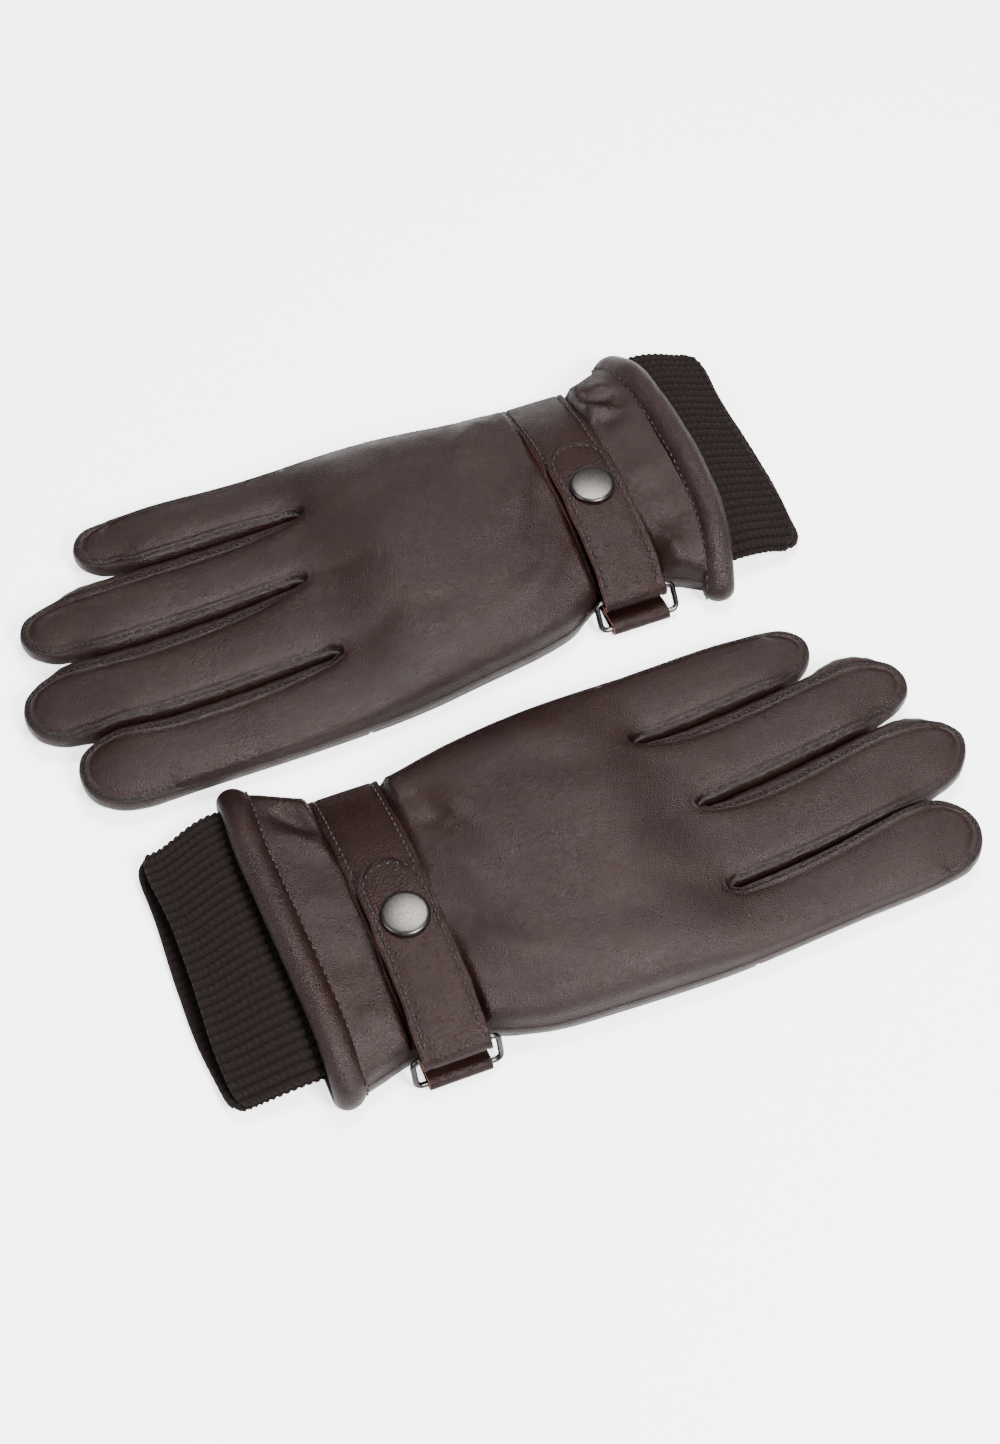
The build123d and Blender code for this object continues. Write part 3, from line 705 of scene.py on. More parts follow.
def draw_outline(glove):
    """The outline's points, each point's kind, and its seam heights and bulge. The cuff's edge closes it."""
    points, kinds = [], []
    for kind, knots in glove.outline:
        line = spline(knots, OUTLINE_STEP)
        points.append(line[:-1])
        kinds += [kind] * (len(line) - 1)
    points = np.vstack(points + [np.array(glove.outline[-1][1][-1:], float)])
    kinds.append("seam")
    top, low, bulge = (smoothed([EDGE[k][i] for k in kinds], EDGE_BLEND, closed=False) for i in range(3))
    normals = outward(points)
    room = gap_room(points, normals, kinds)
    bulge = smoothed(np.minimum(bulge, room), KIND_BLEND, closed=False)
    walls = smoothed([float(k == "wall") for k in kinds], 4, closed=False)
    shift = NEAR_SHIFT * walls * np.clip(-normals[:, 1], 0, 1) * np.maximum(bulge - 0.8, 0)
    return points + normals * shift[:, None], kinds, top, low, bulge - shift, normals


def outward(points):
    """Unit normals of an outline that runs with the panel on its left."""
    tangent = np.gradient(points, axis=0)
    tangent /= np.linalg.norm(tangent, axis=1)[:, None]
    normal = np.column_stack((tangent[:, 1], -tangent[:, 0]))
    normal = np.column_stack([smoothed(normal[:, k], 2, closed=False) for k in range(2)])
    return normal / np.linalg.norm(normal, axis=1)[:, None]


def gap_room(points, normals, kinds):
    """Half of the free space in front of each point of the outline, so that fingers never meet."""
    away = points[None, :, :] - points[:, None, :]
    distance = np.linalg.norm(away, axis=2) + 1e-9
    ahead = (away * normals[:, None, :]).sum(axis=2) / distance
    steps = np.abs(np.arange(len(points))[:, None] - np.arange(len(points))[None, :])
    blocked = np.where((ahead > GAP_CONE) & (steps > GAP_STEPS), distance, FAR_AWAY).min(axis=1)
    return np.maximum(0.5 * blocked - GAP_CLEAR, GAP_LEAST)


def panel_mesh(outline, cut, step, normals=None, insets=()):
    """Even triangles inside an outline, with points along the cut. Returns points, triangles and ids."""
    low, high = outline.min(axis=0), outline.max(axis=0)
    grid = []
    for k, y in enumerate(np.arange(low[1], high[1], step * math.sqrt(3) / 2)):
        grid += [(x, y) for x in np.arange(low[0] + (k % 2) * step / 2, high[0], step)]
    grid = np.array(grid)
    grid = grid[inside(grid, outline)]
    rings = []
    for inset in insets:
        ring = outline - normals * inset
        ring = ring[inside(ring, outline) & (nearest(ring, outline)[0] > inset - 0.12)]
        rings.append(ring[nearest(ring, cut)[0] > 0.45 * step])
    clear = max(insets, default=0.0) + 0.6 * step
    grid = grid[nearest(grid, outline)[0] > clear]
    grid = grid[nearest(grid, cut)[0] > 0.6 * step]
    inner_cut = cut[nearest(cut, outline)[0] > 0.5 * step]
    count = len(outline)
    points = np.vstack((outline, inner_cut, *rings, grid))
    found = delaunay_2d_cdt([Vector(p) for p in points], [], [list(range(count))], 1, 1e-5)
    vertices, _, faces, originals = found[:4]
    made = np.array([tuple(v) for v in vertices])
    ids = np.full(count, -1)
    for new, olds in enumerate(originals):
        for old in olds:
            if old < count:
                ids[old] = new
    return made, np.array([f for f in faces if len(f) == 3]), ids


def folds_at(glove, points):
    """The folds' height at each point of the panel."""
    height = np.zeros(len(points))
    for size, width, line in glove.folds:
        course = spline(line, 1.5)
        distance, index = nearest(points, course)
        along = index / max(len(course) - 1, 1)
        taper = np.clip(np.sin(np.pi * np.clip(along, 0.04, 0.96)), 0, 1) ** 0.7
        height += size * taper * bell(distance, 0.0, width)
    return height


def ripple(points, scale, seed, height=0.0):
    """Smooth noise between about -1 and 1."""
    shift = Vector((seed * 17.3, seed * 5.1, seed * 9.7 + height))
    return np.array([noise.noise(Vector((p[0] / scale, p[1] / scale, 0.0)) + shift) for p in points]) * 1.6


def pucker(place, seed):
    """The leather drawn up between stitches: an uneven wave along a seam."""
    short = np.sin(place / 0.9 + 1.7 * np.sin(place / 7.0 + seed))
    return 0.5 * short + 0.5 * np.sin(place / 2.1 + seed * 2.0)


def ease(value, start, end):
    """From 0 at start to 1 at end, smoothly."""
    t = np.clip((value - start) / (end - start), 0, 1)
    return t * t * (3 - 2 * t)


def between(value, rising, risen, falling, fallen):
    """1 between risen and falling, 0 outside, smoothly."""
    return ease(value, rising, risen) * (1 - ease(value, falling, fallen))


def bell(distance, middle, width):
    """1 at middle, falling off within about width each way."""
    return np.exp(-(((distance - middle) / width) ** 2))


def beads(distance, rows):
    """The height of some ridges and grooves that run beside a seam."""
    return sum(height * bell(distance, middle, width) for height, middle, width in rows)


def where_kind(kinds, chosen):
    """1 at the outline's points of the chosen kinds, fading into the others."""
    return smoothed([float(k in chosen) for k in kinds], KIND_BLEND, closed=False)


FINGER_KINDS = ("wall", "tip", "crotch")
SEWN_KINDS = FINGER_KINDS + ("seam",)


def smooth_rise(along):
    """How high the back domes above its edges, along the glove."""
    fine = np.arange(RISE_PLACES[0] - 30, RISE_PLACES[-1] + 30, 1.0)
    return np.interp(along, fine, smoothed(np.interp(fine, RISE_PLACES, RISES), 9, closed=False))


def thumb_lift(points):
    """How far the palm is raised where it lies over the folded thumb."""
    return THUMB_LIFT * between(points[:, 0], *THUMB_ALONG) * between(points[:, 1], *THUMB_ACROSS)


def build_leather(glove):
    """The glove's leather as one surface: back, palm and the strip round their edge."""
    outline, kinds, top, low, bulge, normals = draw_outline(glove)
    cut = crotch_line(outline, kinds)
    points, triangles, ids = panel_mesh(outline, cut, PANEL_STEP, normals, SEAM_INSETS)
    count = len(points)
    fixed = np.zeros(count, bool)
    fixed[ids] = True

    def spread(values):
        """Values given round the outline, spread over the panel."""
        held = np.zeros(count)
        held[ids] = values
        return solve_panel(points, triangles, fixed, held, 0.0)

    base_top, base_low = spread(top), spread(low)
    swell = np.sqrt(np.maximum(2 * solve_panel(points, triangles, fixed, np.zeros(count), 1.0), 0))
    rise = smooth_rise(points[:, 0])
    back = base_top + rise * (1 - np.exp(-STEEPNESS * swell / rise))
    flat = spread([float(k in FINGER_KINDS) for k in kinds]) * ease(points[:, 0], *FINGERS_START)
    gentle = base_top + FINGER_RISE * (1 - bell(swell, 0.0, FINGER_ROUND))
    back += (gentle - back) * flat

    distance, near = nearest(points, outline)
    away = 1 - bell(swell, 0.0, EDGE_CALM)
    back += folds_at(glove, points) * away
    for size, length, seed in RIPPLES:
        back += ripple(points, length, seed + glove.side) * size * away
    back += (under_strap(glove, points, back) - back) * (1 - np.exp(-swell / STRAP_PRESS))
    sewn = where_kind(kinds, SEWN_KINDS)
    gathers = pucker(near * OUTLINE_STEP, 1.0 + glove.side)
    back += sewn[near] * np.exp(-distance / PUCKER_REACH) * PUCKER * gathers
    walls = where_kind(kinds, FINGER_KINDS)[near]
    back += walls * beads(distance, FINGER_SEAM)
    back += where_kind(kinds, ("seam",))[near] * beads(distance, SIDE_SEAM)

    palm = np.maximum(base_low - SAG * (1 - np.exp(-swell / SAG_REACH)), FLOOR_GAP)
    palm = np.minimum(palm + thumb_lift(points) * away, back - HOLLOW)
    palm[ids] = low
    back[ids] = top
    surface = np.column_stack((np.vstack((points, points)), np.concatenate((back, palm))))
    faces = [tuple(t) for t in triangles] + [(c + count, b + count, a + count) for a, b, c in triangles]
    strip_points, strip, out = edge_strip(outline, ids, count, top, low, bulge, normals, sewn, glove)
    # Painted shade along the seams: the back darkens at its edge beside the fingers' seams, and the strip
    # darkens in its upper rows where it meets the back
    upper = (np.array(STRIP_SHARES) < 0.5)[:, None]
    strip_seam_shade = sewn[None, :] * bell(out, 0.0, STRIP_LINE) * upper
    painted_seam_shade = np.concatenate((walls * bell(distance, 0.0, SEAM_LINE), np.zeros(count), strip_seam_shade.ravel()))
    shape = {"outline": outline, "kinds": kinds, "normals": normals}
    shape.update(points=points, back=back, palm=palm)
    return np.vstack((surface, strip_points)), faces + strip, painted_seam_shade, shape


STRIP_SHARES = (0.05, 0.1, 0.16, 0.23, 0.31, 0.4, 0.5, 0.62, 0.75, 0.88)


GATHER = 0.05
STRIP_ROUND = 0.62
STRIP_RIDGE = (0.22, 0.95, 0.5)  # height, distance out from the seam, width


def edge_strip(outline, ids, count, top, low, bulge, normals, sewn, glove):
    """The strip between back and palm round the outline. Between fingers it is the fourchettes.

    Returns its points, its faces, and how far out each row of points stands."""
    made, rows, reaches = [], [ids], []
    start = 2 * count
    gathers = 1 + sewn * GATHER * pucker(np.arange(len(outline)) * OUTLINE_STEP, 2.0 + glove.side)
    height, middle, width = STRIP_RIDGE
    for k, share in enumerate(STRIP_SHARES):
        turn = math.pi * share
        out = bulge * gathers * math.sin(turn) ** STRIP_ROUND
        ridge = sewn * np.minimum(bulge, 1.0) * height * bell(out, middle, width) * (share < 0.5)
        level = top - (top - low) * (1 - math.cos(turn)) / 2 + ridge
        made.append(np.column_stack((outline + normals * out[:, None], level)))
        reaches.append(out)
        rows.append(np.arange(len(outline)) + start + k * len(outline))
    rows.append(ids + count)
    faces = []
    for upper, lower in zip(rows, rows[1:]):
        for a, b, c, d in zip(upper, upper[1:], lower[1:], lower):
            faces.append((a, d, c, b))
    return np.vstack(made), faces, np.array(reaches)


def crotch_line(outline, kinds):
    """The line on which the fingers are parted from the hand: from side to side through the crotches."""
    deepest = []
    start = None
    for k, kind in enumerate(kinds + ["end"]):
        if kind == "crotch" and start is None:
            start = k
        if kind != "crotch" and start is not None:
            stretch = outline[start:k]
            deepest.append(stretch[stretch[:, 0].argmin()])
            start = None
    first, last = deepest[0], deepest[-1]
    near_side = outline[[k for k, kind in enumerate(kinds) if kind == "fold"]]
    far_side = outline[[k for k, kind in enumerate(kinds) if kind == "seam"]]
    near_end = near_side[np.abs(near_side[:, 0] - first[0]).argmin()]
    far_end = far_side[np.abs(far_side[:, 0] - last[0]).argmin()]
    return resample(np.vstack((near_end, *deepest, far_end)), PANEL_STEP)


def owner_of(glove, places, cut):
    """Which part each place belongs to: 0 for the hand, and 1 to 4 for the fingers."""
    cut = cut[np.argsort(cut[:, 1])]
    beyond = places[:, 0] > np.interp(places[:, 1], cut[:, 1], cut[:, 0])
    closeness = []
    for finger in FINGERS:
        root, tip = (np.array(p) for p in glove.roots[finger])
        reach = tip - root
        share = np.clip(((places - root) @ reach) / (reach @ reach), 0, 1)
        closeness.append(np.linalg.norm(places - root - share[:, None] * reach, axis=1))
    return np.where(beyond, np.argmin(closeness, axis=0) + 1, 0)


def split_at_roots(glove, surface, faces, cut):
    """Which part each face belongs to."""
    return owner_of(glove, np.array([(surface[f[0]] + surface[f[2]])[:2] / 2 for f in faces]), cut)


def smooth_normals(surface, faces):
    """Area-weighted normals of the whole surface."""
    normals = np.zeros_like(surface)
    for size in (3, 4):
        some = np.array([f for f in faces if len(f) == size])
        if not len(some):
            continue
        corners = surface[some]
        if size == 3:
            flat = np.cross(corners[:, 1] - corners[:, 0], corners[:, 2] - corners[:, 0])
        else:
            flat = np.cross(corners[:, 2] - corners[:, 0], corners[:, 3] - corners[:, 1])
        for k in range(size):
            np.add.at(normals, some[:, k], flat)
    return normals / np.maximum(np.linalg.norm(normals, axis=1), 1e-9)[:, None]


def part_object(name, placed, faces, normals, chosen, painted_seam_shade=None):
    """One piece of a surface as an object that keeps the whole surface's shading at its cut."""
    used = sorted({v for k in chosen for v in faces[k]})
    renamed = {v: k for k, v in enumerate(used)}
    made = mesh_object(name, placed[used], [tuple(renamed[v] for v in faces[k]) for k in chosen])
    made.data.normals_split_custom_set_from_vertices([tuple(normals[v]) for v in used])
    # The painted seam shade goes with the piece as the mesh's seam attribute
    if painted_seam_shade is not None:
        made.data.attributes.new("seam", "FLOAT", "POINT").data.foreach_set("value", painted_seam_shade[used])
    return made


def finish_piece(piece, material, body=None, nodes=()):
    """Material, slot, ride and the CAD nodes that a piece stands for."""
    piece.data.materials.append(MATERIALS[material])
    if body:
        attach(piece, body)
    if nodes:
        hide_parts(*nodes)
    return piece


BEND_REACH = 24.0  # the length of finger between the ends worked out for its bend
FINGER_REACH = 17.0  # each way across, the part of the cut that counts as a finger's own root
BEND_CLEAR = 0.6  # from the cut to the start of the bend


def follow(glove, piece, part):
    """The piece rides on the hand; a finger's piece goes to bend_with_finger, which only bakes it in place.
    """
    if part == "hand":
        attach(piece, glove.body("hand"))
    else:
        bend_with_finger(glove, piece, part)


def bend_with_finger(glove, piece, finger):
    """Works out where the finger's bend would start and end past the cut, and bakes the piece in place;
    nothing ties it to the hand or the finger.
    """
    root, tip = (np.array(p) for p in glove.roots[finger])
    direction = (tip - root) / np.linalg.norm(tip - root)
    ahead = (glove.cut - root) @ direction
    beside = np.abs((glove.cut - root) @ np.array((-direction[1], direction[0])))
    start = ahead[beside < FINGER_REACH].max() + BEND_CLEAR
    ends = np.vstack((root + direction * start, root + direction * (start + BEND_REACH)))
    ends = glove.place(np.column_stack((ends, (5.0, 5.0)))) * MM
    glove.body("hand")
    glove.body(finger)
    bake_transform(piece)


def make_leather(glove):
    """Hand and fingers of one glove."""
    surface, faces, painted_seam_shade, shape = build_leather(glove)
    glove.cut = crotch_line(shape["outline"], shape["kinds"])
    owner = split_at_roots(glove, surface, faces, glove.cut)
    placed = glove.place(surface)
    turned = glove.faces(faces)
    shading = smooth_normals(placed, turned)
    for number, part in enumerate(("hand",) + FINGERS):
        name = f"{glove.name}_{part}_leather"
        piece = part_object(name, placed, turned, shading, np.flatnonzero(owner == number), painted_seam_shade)
        many = "fourchettes" if part in ("middle", "ring") else "fourchette"
        nodes = [name] if part == "hand" else [name, f"{glove.name}_{part}_{many}"]
        finish_piece(piece, "leather", None, nodes)
        follow(glove, piece, part)
    return shape


# ---------------------------------------------------------------- stitches

STITCH_SIDES = 6
# A stitch's rings: (place along it, size, lift), the ends sunk into the leather
STITCH_RINGS = (
    (-0.5, 0.25, -0.55), (-0.42, 0.8, -0.1), (0.0, 1.0, 0.25), (0.42, 0.8, -0.1), (0.5, 0.25, -0.55),
)
# Each row of stitches: pitch, length and thickness of the thread
SEAM_THREAD = (2.0, 1.4, 0.34)
HEM_THREAD = (3.0, 1.9, 0.74)
BASE_THREAD = (2.7, 1.9, 0.78)
FLAP_THREAD = (2.7, 1.9, 0.74)


def stitch_row(points, outward_normals, pitch, length, thick):
    """Thread stitches along a line: short sunken capsules. Returns points and faces."""
    line = np.array(points, float)
    ups = np.array(outward_normals, float)
    lengths = lengths_along(line)
    made, faces = [], []
    sides, rings = STITCH_SIDES, STITCH_RINGS
    for middle in np.arange(pitch / 2, lengths[-1] - pitch / 2 + 1e-6, pitch):
        centre = np.array([np.interp(middle, lengths, line[:, k]) for k in range(3)])
        ahead = np.array([np.interp(middle + 0.5, lengths, line[:, k]) for k in range(3)])
        up = np.array([np.interp(middle, lengths, ups[:, k]) for k in range(3)])
        direction = ahead - centre
        direction /= max(np.linalg.norm(direction), 1e-9)
        side = np.cross(direction, up)
        side /= max(np.linalg.norm(side), 1e-9)
        up = np.cross(side, direction)
        first = len(made)
        for share, size, lift in rings:
            hub = centre + direction * share * length + up * lift * thick
            for k in range(sides):
                angle = 2 * math.pi * k / sides
                made.append(hub + (side * math.cos(angle) + up * math.sin(angle)) * thick / 2 * size)
        for ring in range(len(rings) - 1):
            for k in range(sides):
                a, b = first + ring * sides + k, first + ring * sides + (k + 1) % sides
                faces.append((a, a + sides, b + sides, b))
        faces.append(tuple(first + k for k in range(sides)))
        faces.append(tuple(first + (len(rings) - 1) * sides + k for k in reversed(range(sides))))
    return made, faces


def stitch_object(glove, name, rows):
    """One group's stitch rows as an object. Each row is (points, normals, pitch, length, thickness)."""
    points, faces = [], []
    for row in rows:
        made, new = stitch_row(*row)
        faces += [tuple(v + len(points) for v in f) for f in new]
        points += made
    return mesh_object(f"{glove.name}_{name}", glove.place(points), glove.faces(faces))


# ---------------------------------------------------------------- the cuff

HEM_SHIFT = {
    "left": ((-46, -20, 10, 40, 66), (1.0, 1.2, 0.0, -1.0, 0.6)),
    "right": ((-46, -42, -30, -15, 5, 25, 45, 54, 62), (7.0, 5.0, 1.5, -1.5, -2.5, -2.0, -0.5, 1.5, 5.0)),
}
# The roll's section: along from the cuff's edge, and out from the leather
HEM_SECTION = (
    (10.6, -2.0), (10.4, -0.5), (10.0, 0.1), (9.2, 0.9), (8.0, 1.9), (6.2, 2.7), (4.2, 2.9), (2.3, 2.4),
    (0.9, 1.3), (0.1, -0.2), (0.3, -1.7), (1.4, -2.7), (3.6, -3.2), (7.0, -3.2), (10.2, -2.9),
)
HEM_OUTER = -38.3
HEM_STITCH = 9.9
HEM_STEP = 0.8
HEM_SWELL = 0.10  # how unevenly the roll is padded
HEM_TUCK, TUCK_REACH = 0.12, 2.2
HEM_FLOOR = 0.1
HEM_SEEN = 4.0  # the loop's points above this height belong to the back
STITCH_LIFT = 0.28


def mouth_loop(shape, step=1.4):
    """The leather's section at the cuff's edge: a closed loop of (across, height), and outward normals."""
    points, back, palm = shape["points"], shape["back"], shape["palm"]
    outline = shape["outline"]
    near_y, far_y = outline[0][1], outline[-1][1]
    across = np.arange(near_y + 1.0, far_y - 0.5, 1.0)
    edge = np.column_stack((np.full(len(across), HEM_EDGE + 1.0), across))
    index = nearest(edge, points)[1]
    top = smoothed(back[index], 5, closed=False)
    low = smoothed(palm[index], 5, closed=False)
    side = (top[0] + low[0]) / 2, (top[-1] + low[-1]) / 2
    loop = np.vstack((
        [(near_y - 0.4, side[0])], np.column_stack((across, top)),
        [(far_y + 0.4, side[1])], np.column_stack((across, low))[::-1],
    ))
    loop = resample(np.vstack((loop, loop[:1])), step)[:-1]
    loop = np.column_stack([smoothed(loop[:, k], 2) for k in range(2)])
    tangent = np.roll(loop, -1, axis=0) - np.roll(loop, 1, axis=0)
    normal = np.column_stack((-tangent[:, 1], tangent[:, 0]))
    normal = np.column_stack([smoothed(normal[:, k], 3) for k in range(2)])
    return loop, normal / np.linalg.norm(normal, axis=1)[:, None]


def tube_faces(rings, around, closed_rings=False):
    """Quads of a tube whose rings follow each other in the point list."""
    faces = []
    for ring in range(rings if closed_rings else rings - 1):
        ahead = (ring + 1) % rings
        for k in range(around):
            a, b = ring * around + k, ring * around + (k + 1) % around
            faces.append((a, b, ahead * around + (k + 1) % around, ahead * around + k))
    return faces


def make_hem(glove, shape):
    """The turned, padded edge of the cuff, and its row of stitches."""
    loop, normal = mouth_loop(shape)
    shift = smoothed(np.interp(loop[:, 0], *HEM_SHIFT[glove.name]), 4)
    swell = 1 + HEM_SWELL * ripple(loop, 16.0, 7 + glove.side)
    section = spline(HEM_SECTION, HEM_STEP)
    tuck = HEM_TUCK * np.array([math.sin(k * 2.3) + math.sin(k * 0.9 + 1) for k in range(len(loop))])
    points = []
    for along, out in section:
        near_stitch = bell(along, HEM_STITCH, TUCK_REACH)
        reach = np.where(out > 0, out * swell, out) + tuck * near_stitch
        place = loop + normal * reach[:, None]
        height = np.maximum(place[:, 1], HEM_FLOOR)
        points.append(np.column_stack((HEM_OUTER + along + shift, place[:, 0], height)))
    faces = tube_faces(len(section), len(loop), closed_rings=True)
    hem = mesh_object(f"{glove.name}_cuff_hem", glove.place(np.vstack(points)), glove.faces(faces))
    finish_piece(hem, "leather", glove.body("hand"), [f"{glove.name}_cuff_hem"])
    top = loop[:, 1] > HEM_SEEN
    line = np.column_stack((HEM_OUTER + HEM_STITCH + shift, loop + normal * STITCH_LIFT))
    ups = np.column_stack((np.zeros(len(loop)), normal))
    start = int(np.flatnonzero(~top)[0]) if (~top).any() else 0
    line, ups = np.roll(line, -start, axis=0), np.roll(ups, -start, axis=0)
    stitches = stitch_object(glove, "hem_stitches", [(line, ups, *HEM_THREAD)])
    finish_piece(stitches, "thread", glove.body("hand"))


RIB = 3.15
RIB_SAMPLES = 10
KNIT_ROW = 2.3
RIB_DEPTH = 1.25
RIB_SHARPNESS = 0.7
ROW_DEPTH = 0.3
KNIT_COURSE, INNER_COURSE = 0.46, 1.2  # the step between rings outside and inside
KNIT_PLY = 2.4
KNIT_FLOOR = 0.12
MOUTH_ROUND = 1.2
MOUTH_TURNS = (0.0, 0.5, 1.0, 1.4, 1.8, 2.3, 2.8)
MOUTH_FADE = 9.0
MOUTH_LAYERS = 1.9  # how far the upper layer's mouth is drawn in, and the lower one's stands out
MOUTH_SHIFT = {"left": -1.8, "right": 1.6}
# How far the mouth's corners run back, on the thumb's side and on the little finger's
MOUTH_CORNERS = {"left": (4.5, 1.5), "right": (6.5, 3.0)}
KNIT_INSETS = {"left": (0.0, -5.0), "right": (1.0, -3.5)}
KNIT_RISES = 24.0
KNIT_MIDDLE, KNIT_TALL = (5.2, 2.6), (4.9, 1.1)  # at the mouth, and what the hand end adds


def knit_section(glove, along):
    """The knit tube's middle, half width and half height at a place along the glove."""
    low, high = node_box(glove, "knit_cuff")
    share = ease(along, low[0], low[0] + KNIT_RISES)
    inset = KNIT_INSETS[glove.name]
    near, far = low[1] + inset[0] * share, high[1] - inset[1] * share
    centre, tall = (start + more * share for start, more in (KNIT_MIDDLE, KNIT_TALL))
    return (near + far) / 2, (far - near) / 2, centre, tall


def make_knit(glove):
    """The rib-knit inner cuff: a doubled tube, folded over at its mouth, with real ribs and stitches."""
    low, high = node_box(glove, "knit_cuff")
    perimeter = 2 * (high[1] - low[1]) + 8
    ribs = int(perimeter / RIB)
    around = ribs * RIB_SAMPLES
    angle = np.linspace(0, 2 * math.pi, 3000, endpoint=False)
    _, half, _, tall = knit_section(glove, low[0])
    section = lens(angle, half, tall)
    lengths = lengths_along(np.vstack((section, section[:1])))
    places = np.linspace(0, lengths[-1], around, endpoint=False)
    even = np.interp(places, lengths, np.append(angle, 2 * math.pi))
    phase = (np.arange(around) % RIB_SAMPLES) / RIB_SAMPLES
    ridge = np.abs(np.sin(math.pi * phase)) ** RIB_SHARPNESS
    lean = np.abs(phase - 0.5)
    rib = np.arange(around) // RIB_SAMPLES
    wander = 0.12 * np.sin(rib * 1.7) + 0.1 * np.sin(rib * 0.37)
    mouth = low[0] + MOUTH_SHIFT[glove.name]
    # Each course is (along, out from the tube, strength of the ribs)
    courses = [(a, 0.0, 1.0) for a in np.arange(high[0] - 1.0, mouth + MOUTH_ROUND, -KNIT_COURSE)]
    for turn in MOUTH_TURNS:
        along = mouth + MOUTH_ROUND * (1 - math.sin(turn))
        courses.append((along, -MOUTH_ROUND * (1 - math.cos(turn)), 1.0 - 0.3 * turn))
    courses += [(a, -KNIT_PLY, 0.4) for a in np.arange(mouth + 2.5, high[0] - 3.0, INNER_COURSE)]
    near_corner, far_corner = MOUTH_CORNERS[glove.name]
    corners = np.where(np.cos(even) > 0, far_corner, near_corner) * np.abs(np.cos(even)) ** 14
    points, painted_rib_shade = [], []
    for along, out, relief in courses:
        middle, half, centre, tall = knit_section(glove, along)
        place = lens(even, half, tall)
        tangent = np.roll(place, -3, axis=0) - np.roll(place, 3, axis=0)
        normal = np.column_stack((tangent[:, 1], -tangent[:, 0]))
        normal /= np.linalg.norm(normal, axis=1)[:, None]
        edge = bell(along, mouth, MOUTH_FADE)
        stitch = np.cos(2 * math.pi * (along / KNIT_ROW + 1.3 * lean + 0.07 * rib)) * ridge
        facing = 1.0 if out > -MOUTH_ROUND else -0.6
        rise = (RIB_DEPTH * (ridge - 0.75) + ROW_DEPTH * stitch) * relief * facing
        # Painted shade: 0 in the grooves between ribs, up to 1 on the ridges' stitches and lower between
        # them
        painted_rib_shade.append(np.clip(ridge**2 * (0.72 + 0.34 * stitch), 0, 1))
        place = place + normal * (out + rise + wander * 0.6)[:, None]
        wave = 0.5 * np.sin(even * 5 + 1.0)
        x = along + MOUTH_LAYERS * np.sin(even) * edge + corners * edge + wave * edge
        height = np.maximum(place[:, 1] + centre, KNIT_FLOOR)
        points.append(np.column_stack((x, place[:, 0] + middle, height)))
    faces = [tuple(reversed(f)) for f in tube_faces(len(courses), around)]
    knit = mesh_object(f"{glove.name}_knit_cuff", glove.place(np.vstack(points)), glove.faces(faces))
    # The painted rib shade is stored as the mesh's relief attribute
    knit.data.attributes.new("relief", "FLOAT", "POINT").data.foreach_set("value", np.concatenate(painted_rib_shade))
    finish_piece(knit, "rib_knit", glove.body("hand"), [f"{glove.name}_knit_cuff"])


def lens(angle, half, tall, powers=(2 / 2.7, 2 / 2.7)):
    """A flattened tube's section: wide, low, with rounded ends."""
    across, height = np.cos(angle), np.sin(angle)
    across = np.sign(across) * np.abs(across) ** powers[0] * half
    height = np.sign(height) * np.abs(height) ** powers[1] * tall
    return np.column_stack((across, height))


# ---------------------------------------------------------------- strap, flap, tab and press stud

BASE_WIDTH = 22.4
FLAP_WIDTH = 21.2
STITCH_INSET = 1.9
# The strap's top: (in from the edge, height) at both edges, and (share of the half width, height)
TOP_EDGE = ((0.0, -0.18), (0.3, 0.0), (1.1, 0.02), (STITCH_INSET, -0.3), (STITCH_INSET + 0.9, 0.03))
TOP_MIDDLE = ((-0.45, 0.06), (0.0, 0.08), (0.45, 0.06))
CRISP = 50  # degrees between faces that keep a sharp edge
BASE_TUCK = {"left": 3.2, "right": 1.6}  # how far the fixed run goes on into the seam
BAR_WRAP = 170  # degrees of the flap's turn round the bar


def strap_strip(glove, name, course, width, thick, widths=None, wave=0.25):
    """A strip of strap leather along a course of (point, normal) in the plane across the glove.

    Its top is padded between two sewn lines, its edges are cut square and left raw."""
    half = width / 2
    edge = [(x - half, h) for x, h in TOP_EDGE]
    top = edge + [(x * half, h) for x, h in TOP_MIDDLE] + [(-x, h) for x, h in reversed(edge)]
    section = [(x, thick / 2 + h) for x, h in top]
    section += [(half + 0.02, 0.0), (half - 0.1, -thick / 2), (0.0, -thick / 2)]
    section += [(-half + 0.1, -thick / 2), (-half - 0.02, 0.0)]
    raw = {len(top) - 1, len(top), len(top) + 3, len(top) + 4}
    points = []
    for k, (place, normal) in enumerate(course):
        share = 1.0 if widths is None else widths[k]
        drift = wave * (math.sin(k * 0.21 + glove.side) + 0.5 * math.sin(k * 0.47))
        for x, h in section:
            points.append((x * share + drift, place[0] + normal[0] * h, place[1] + normal[1] * h))
    count = len(section)
    faces, edges = [], []
    for row in range(len(course) - 1):
        for k in range(count):
            a, b = row * count + k, row * count + (k + 1) % count
            faces.append((a, a + count, b + count, b))
            edges.append(k in raw)
    last = (len(course) - 1) * count
    faces += [tuple(range(count)), tuple(last + k for k in reversed(range(count)))]
    edges += [True, True]
    piece = mesh_object(f"{glove.name}_{name}", glove.place(points), glove.faces(faces))
    piece.data.materials.append(MATERIALS["strap_leather"])
    piece.data.materials.append(MATERIALS["cut_edge"])
    piece.data.polygons.foreach_set("material_index", [int(e) for e in edges])
    piece.data.set_sharp_from_angle(angle=math.radians(CRISP))
    return piece


def arc_course(arc, start, end, step=1.0):
    """Places and normals along an arc."""
    across = np.linspace(start, end, max(2, int(abs(end - start) / step)))
    return [(arc.point(y), arc.normal(y)) for y in across]


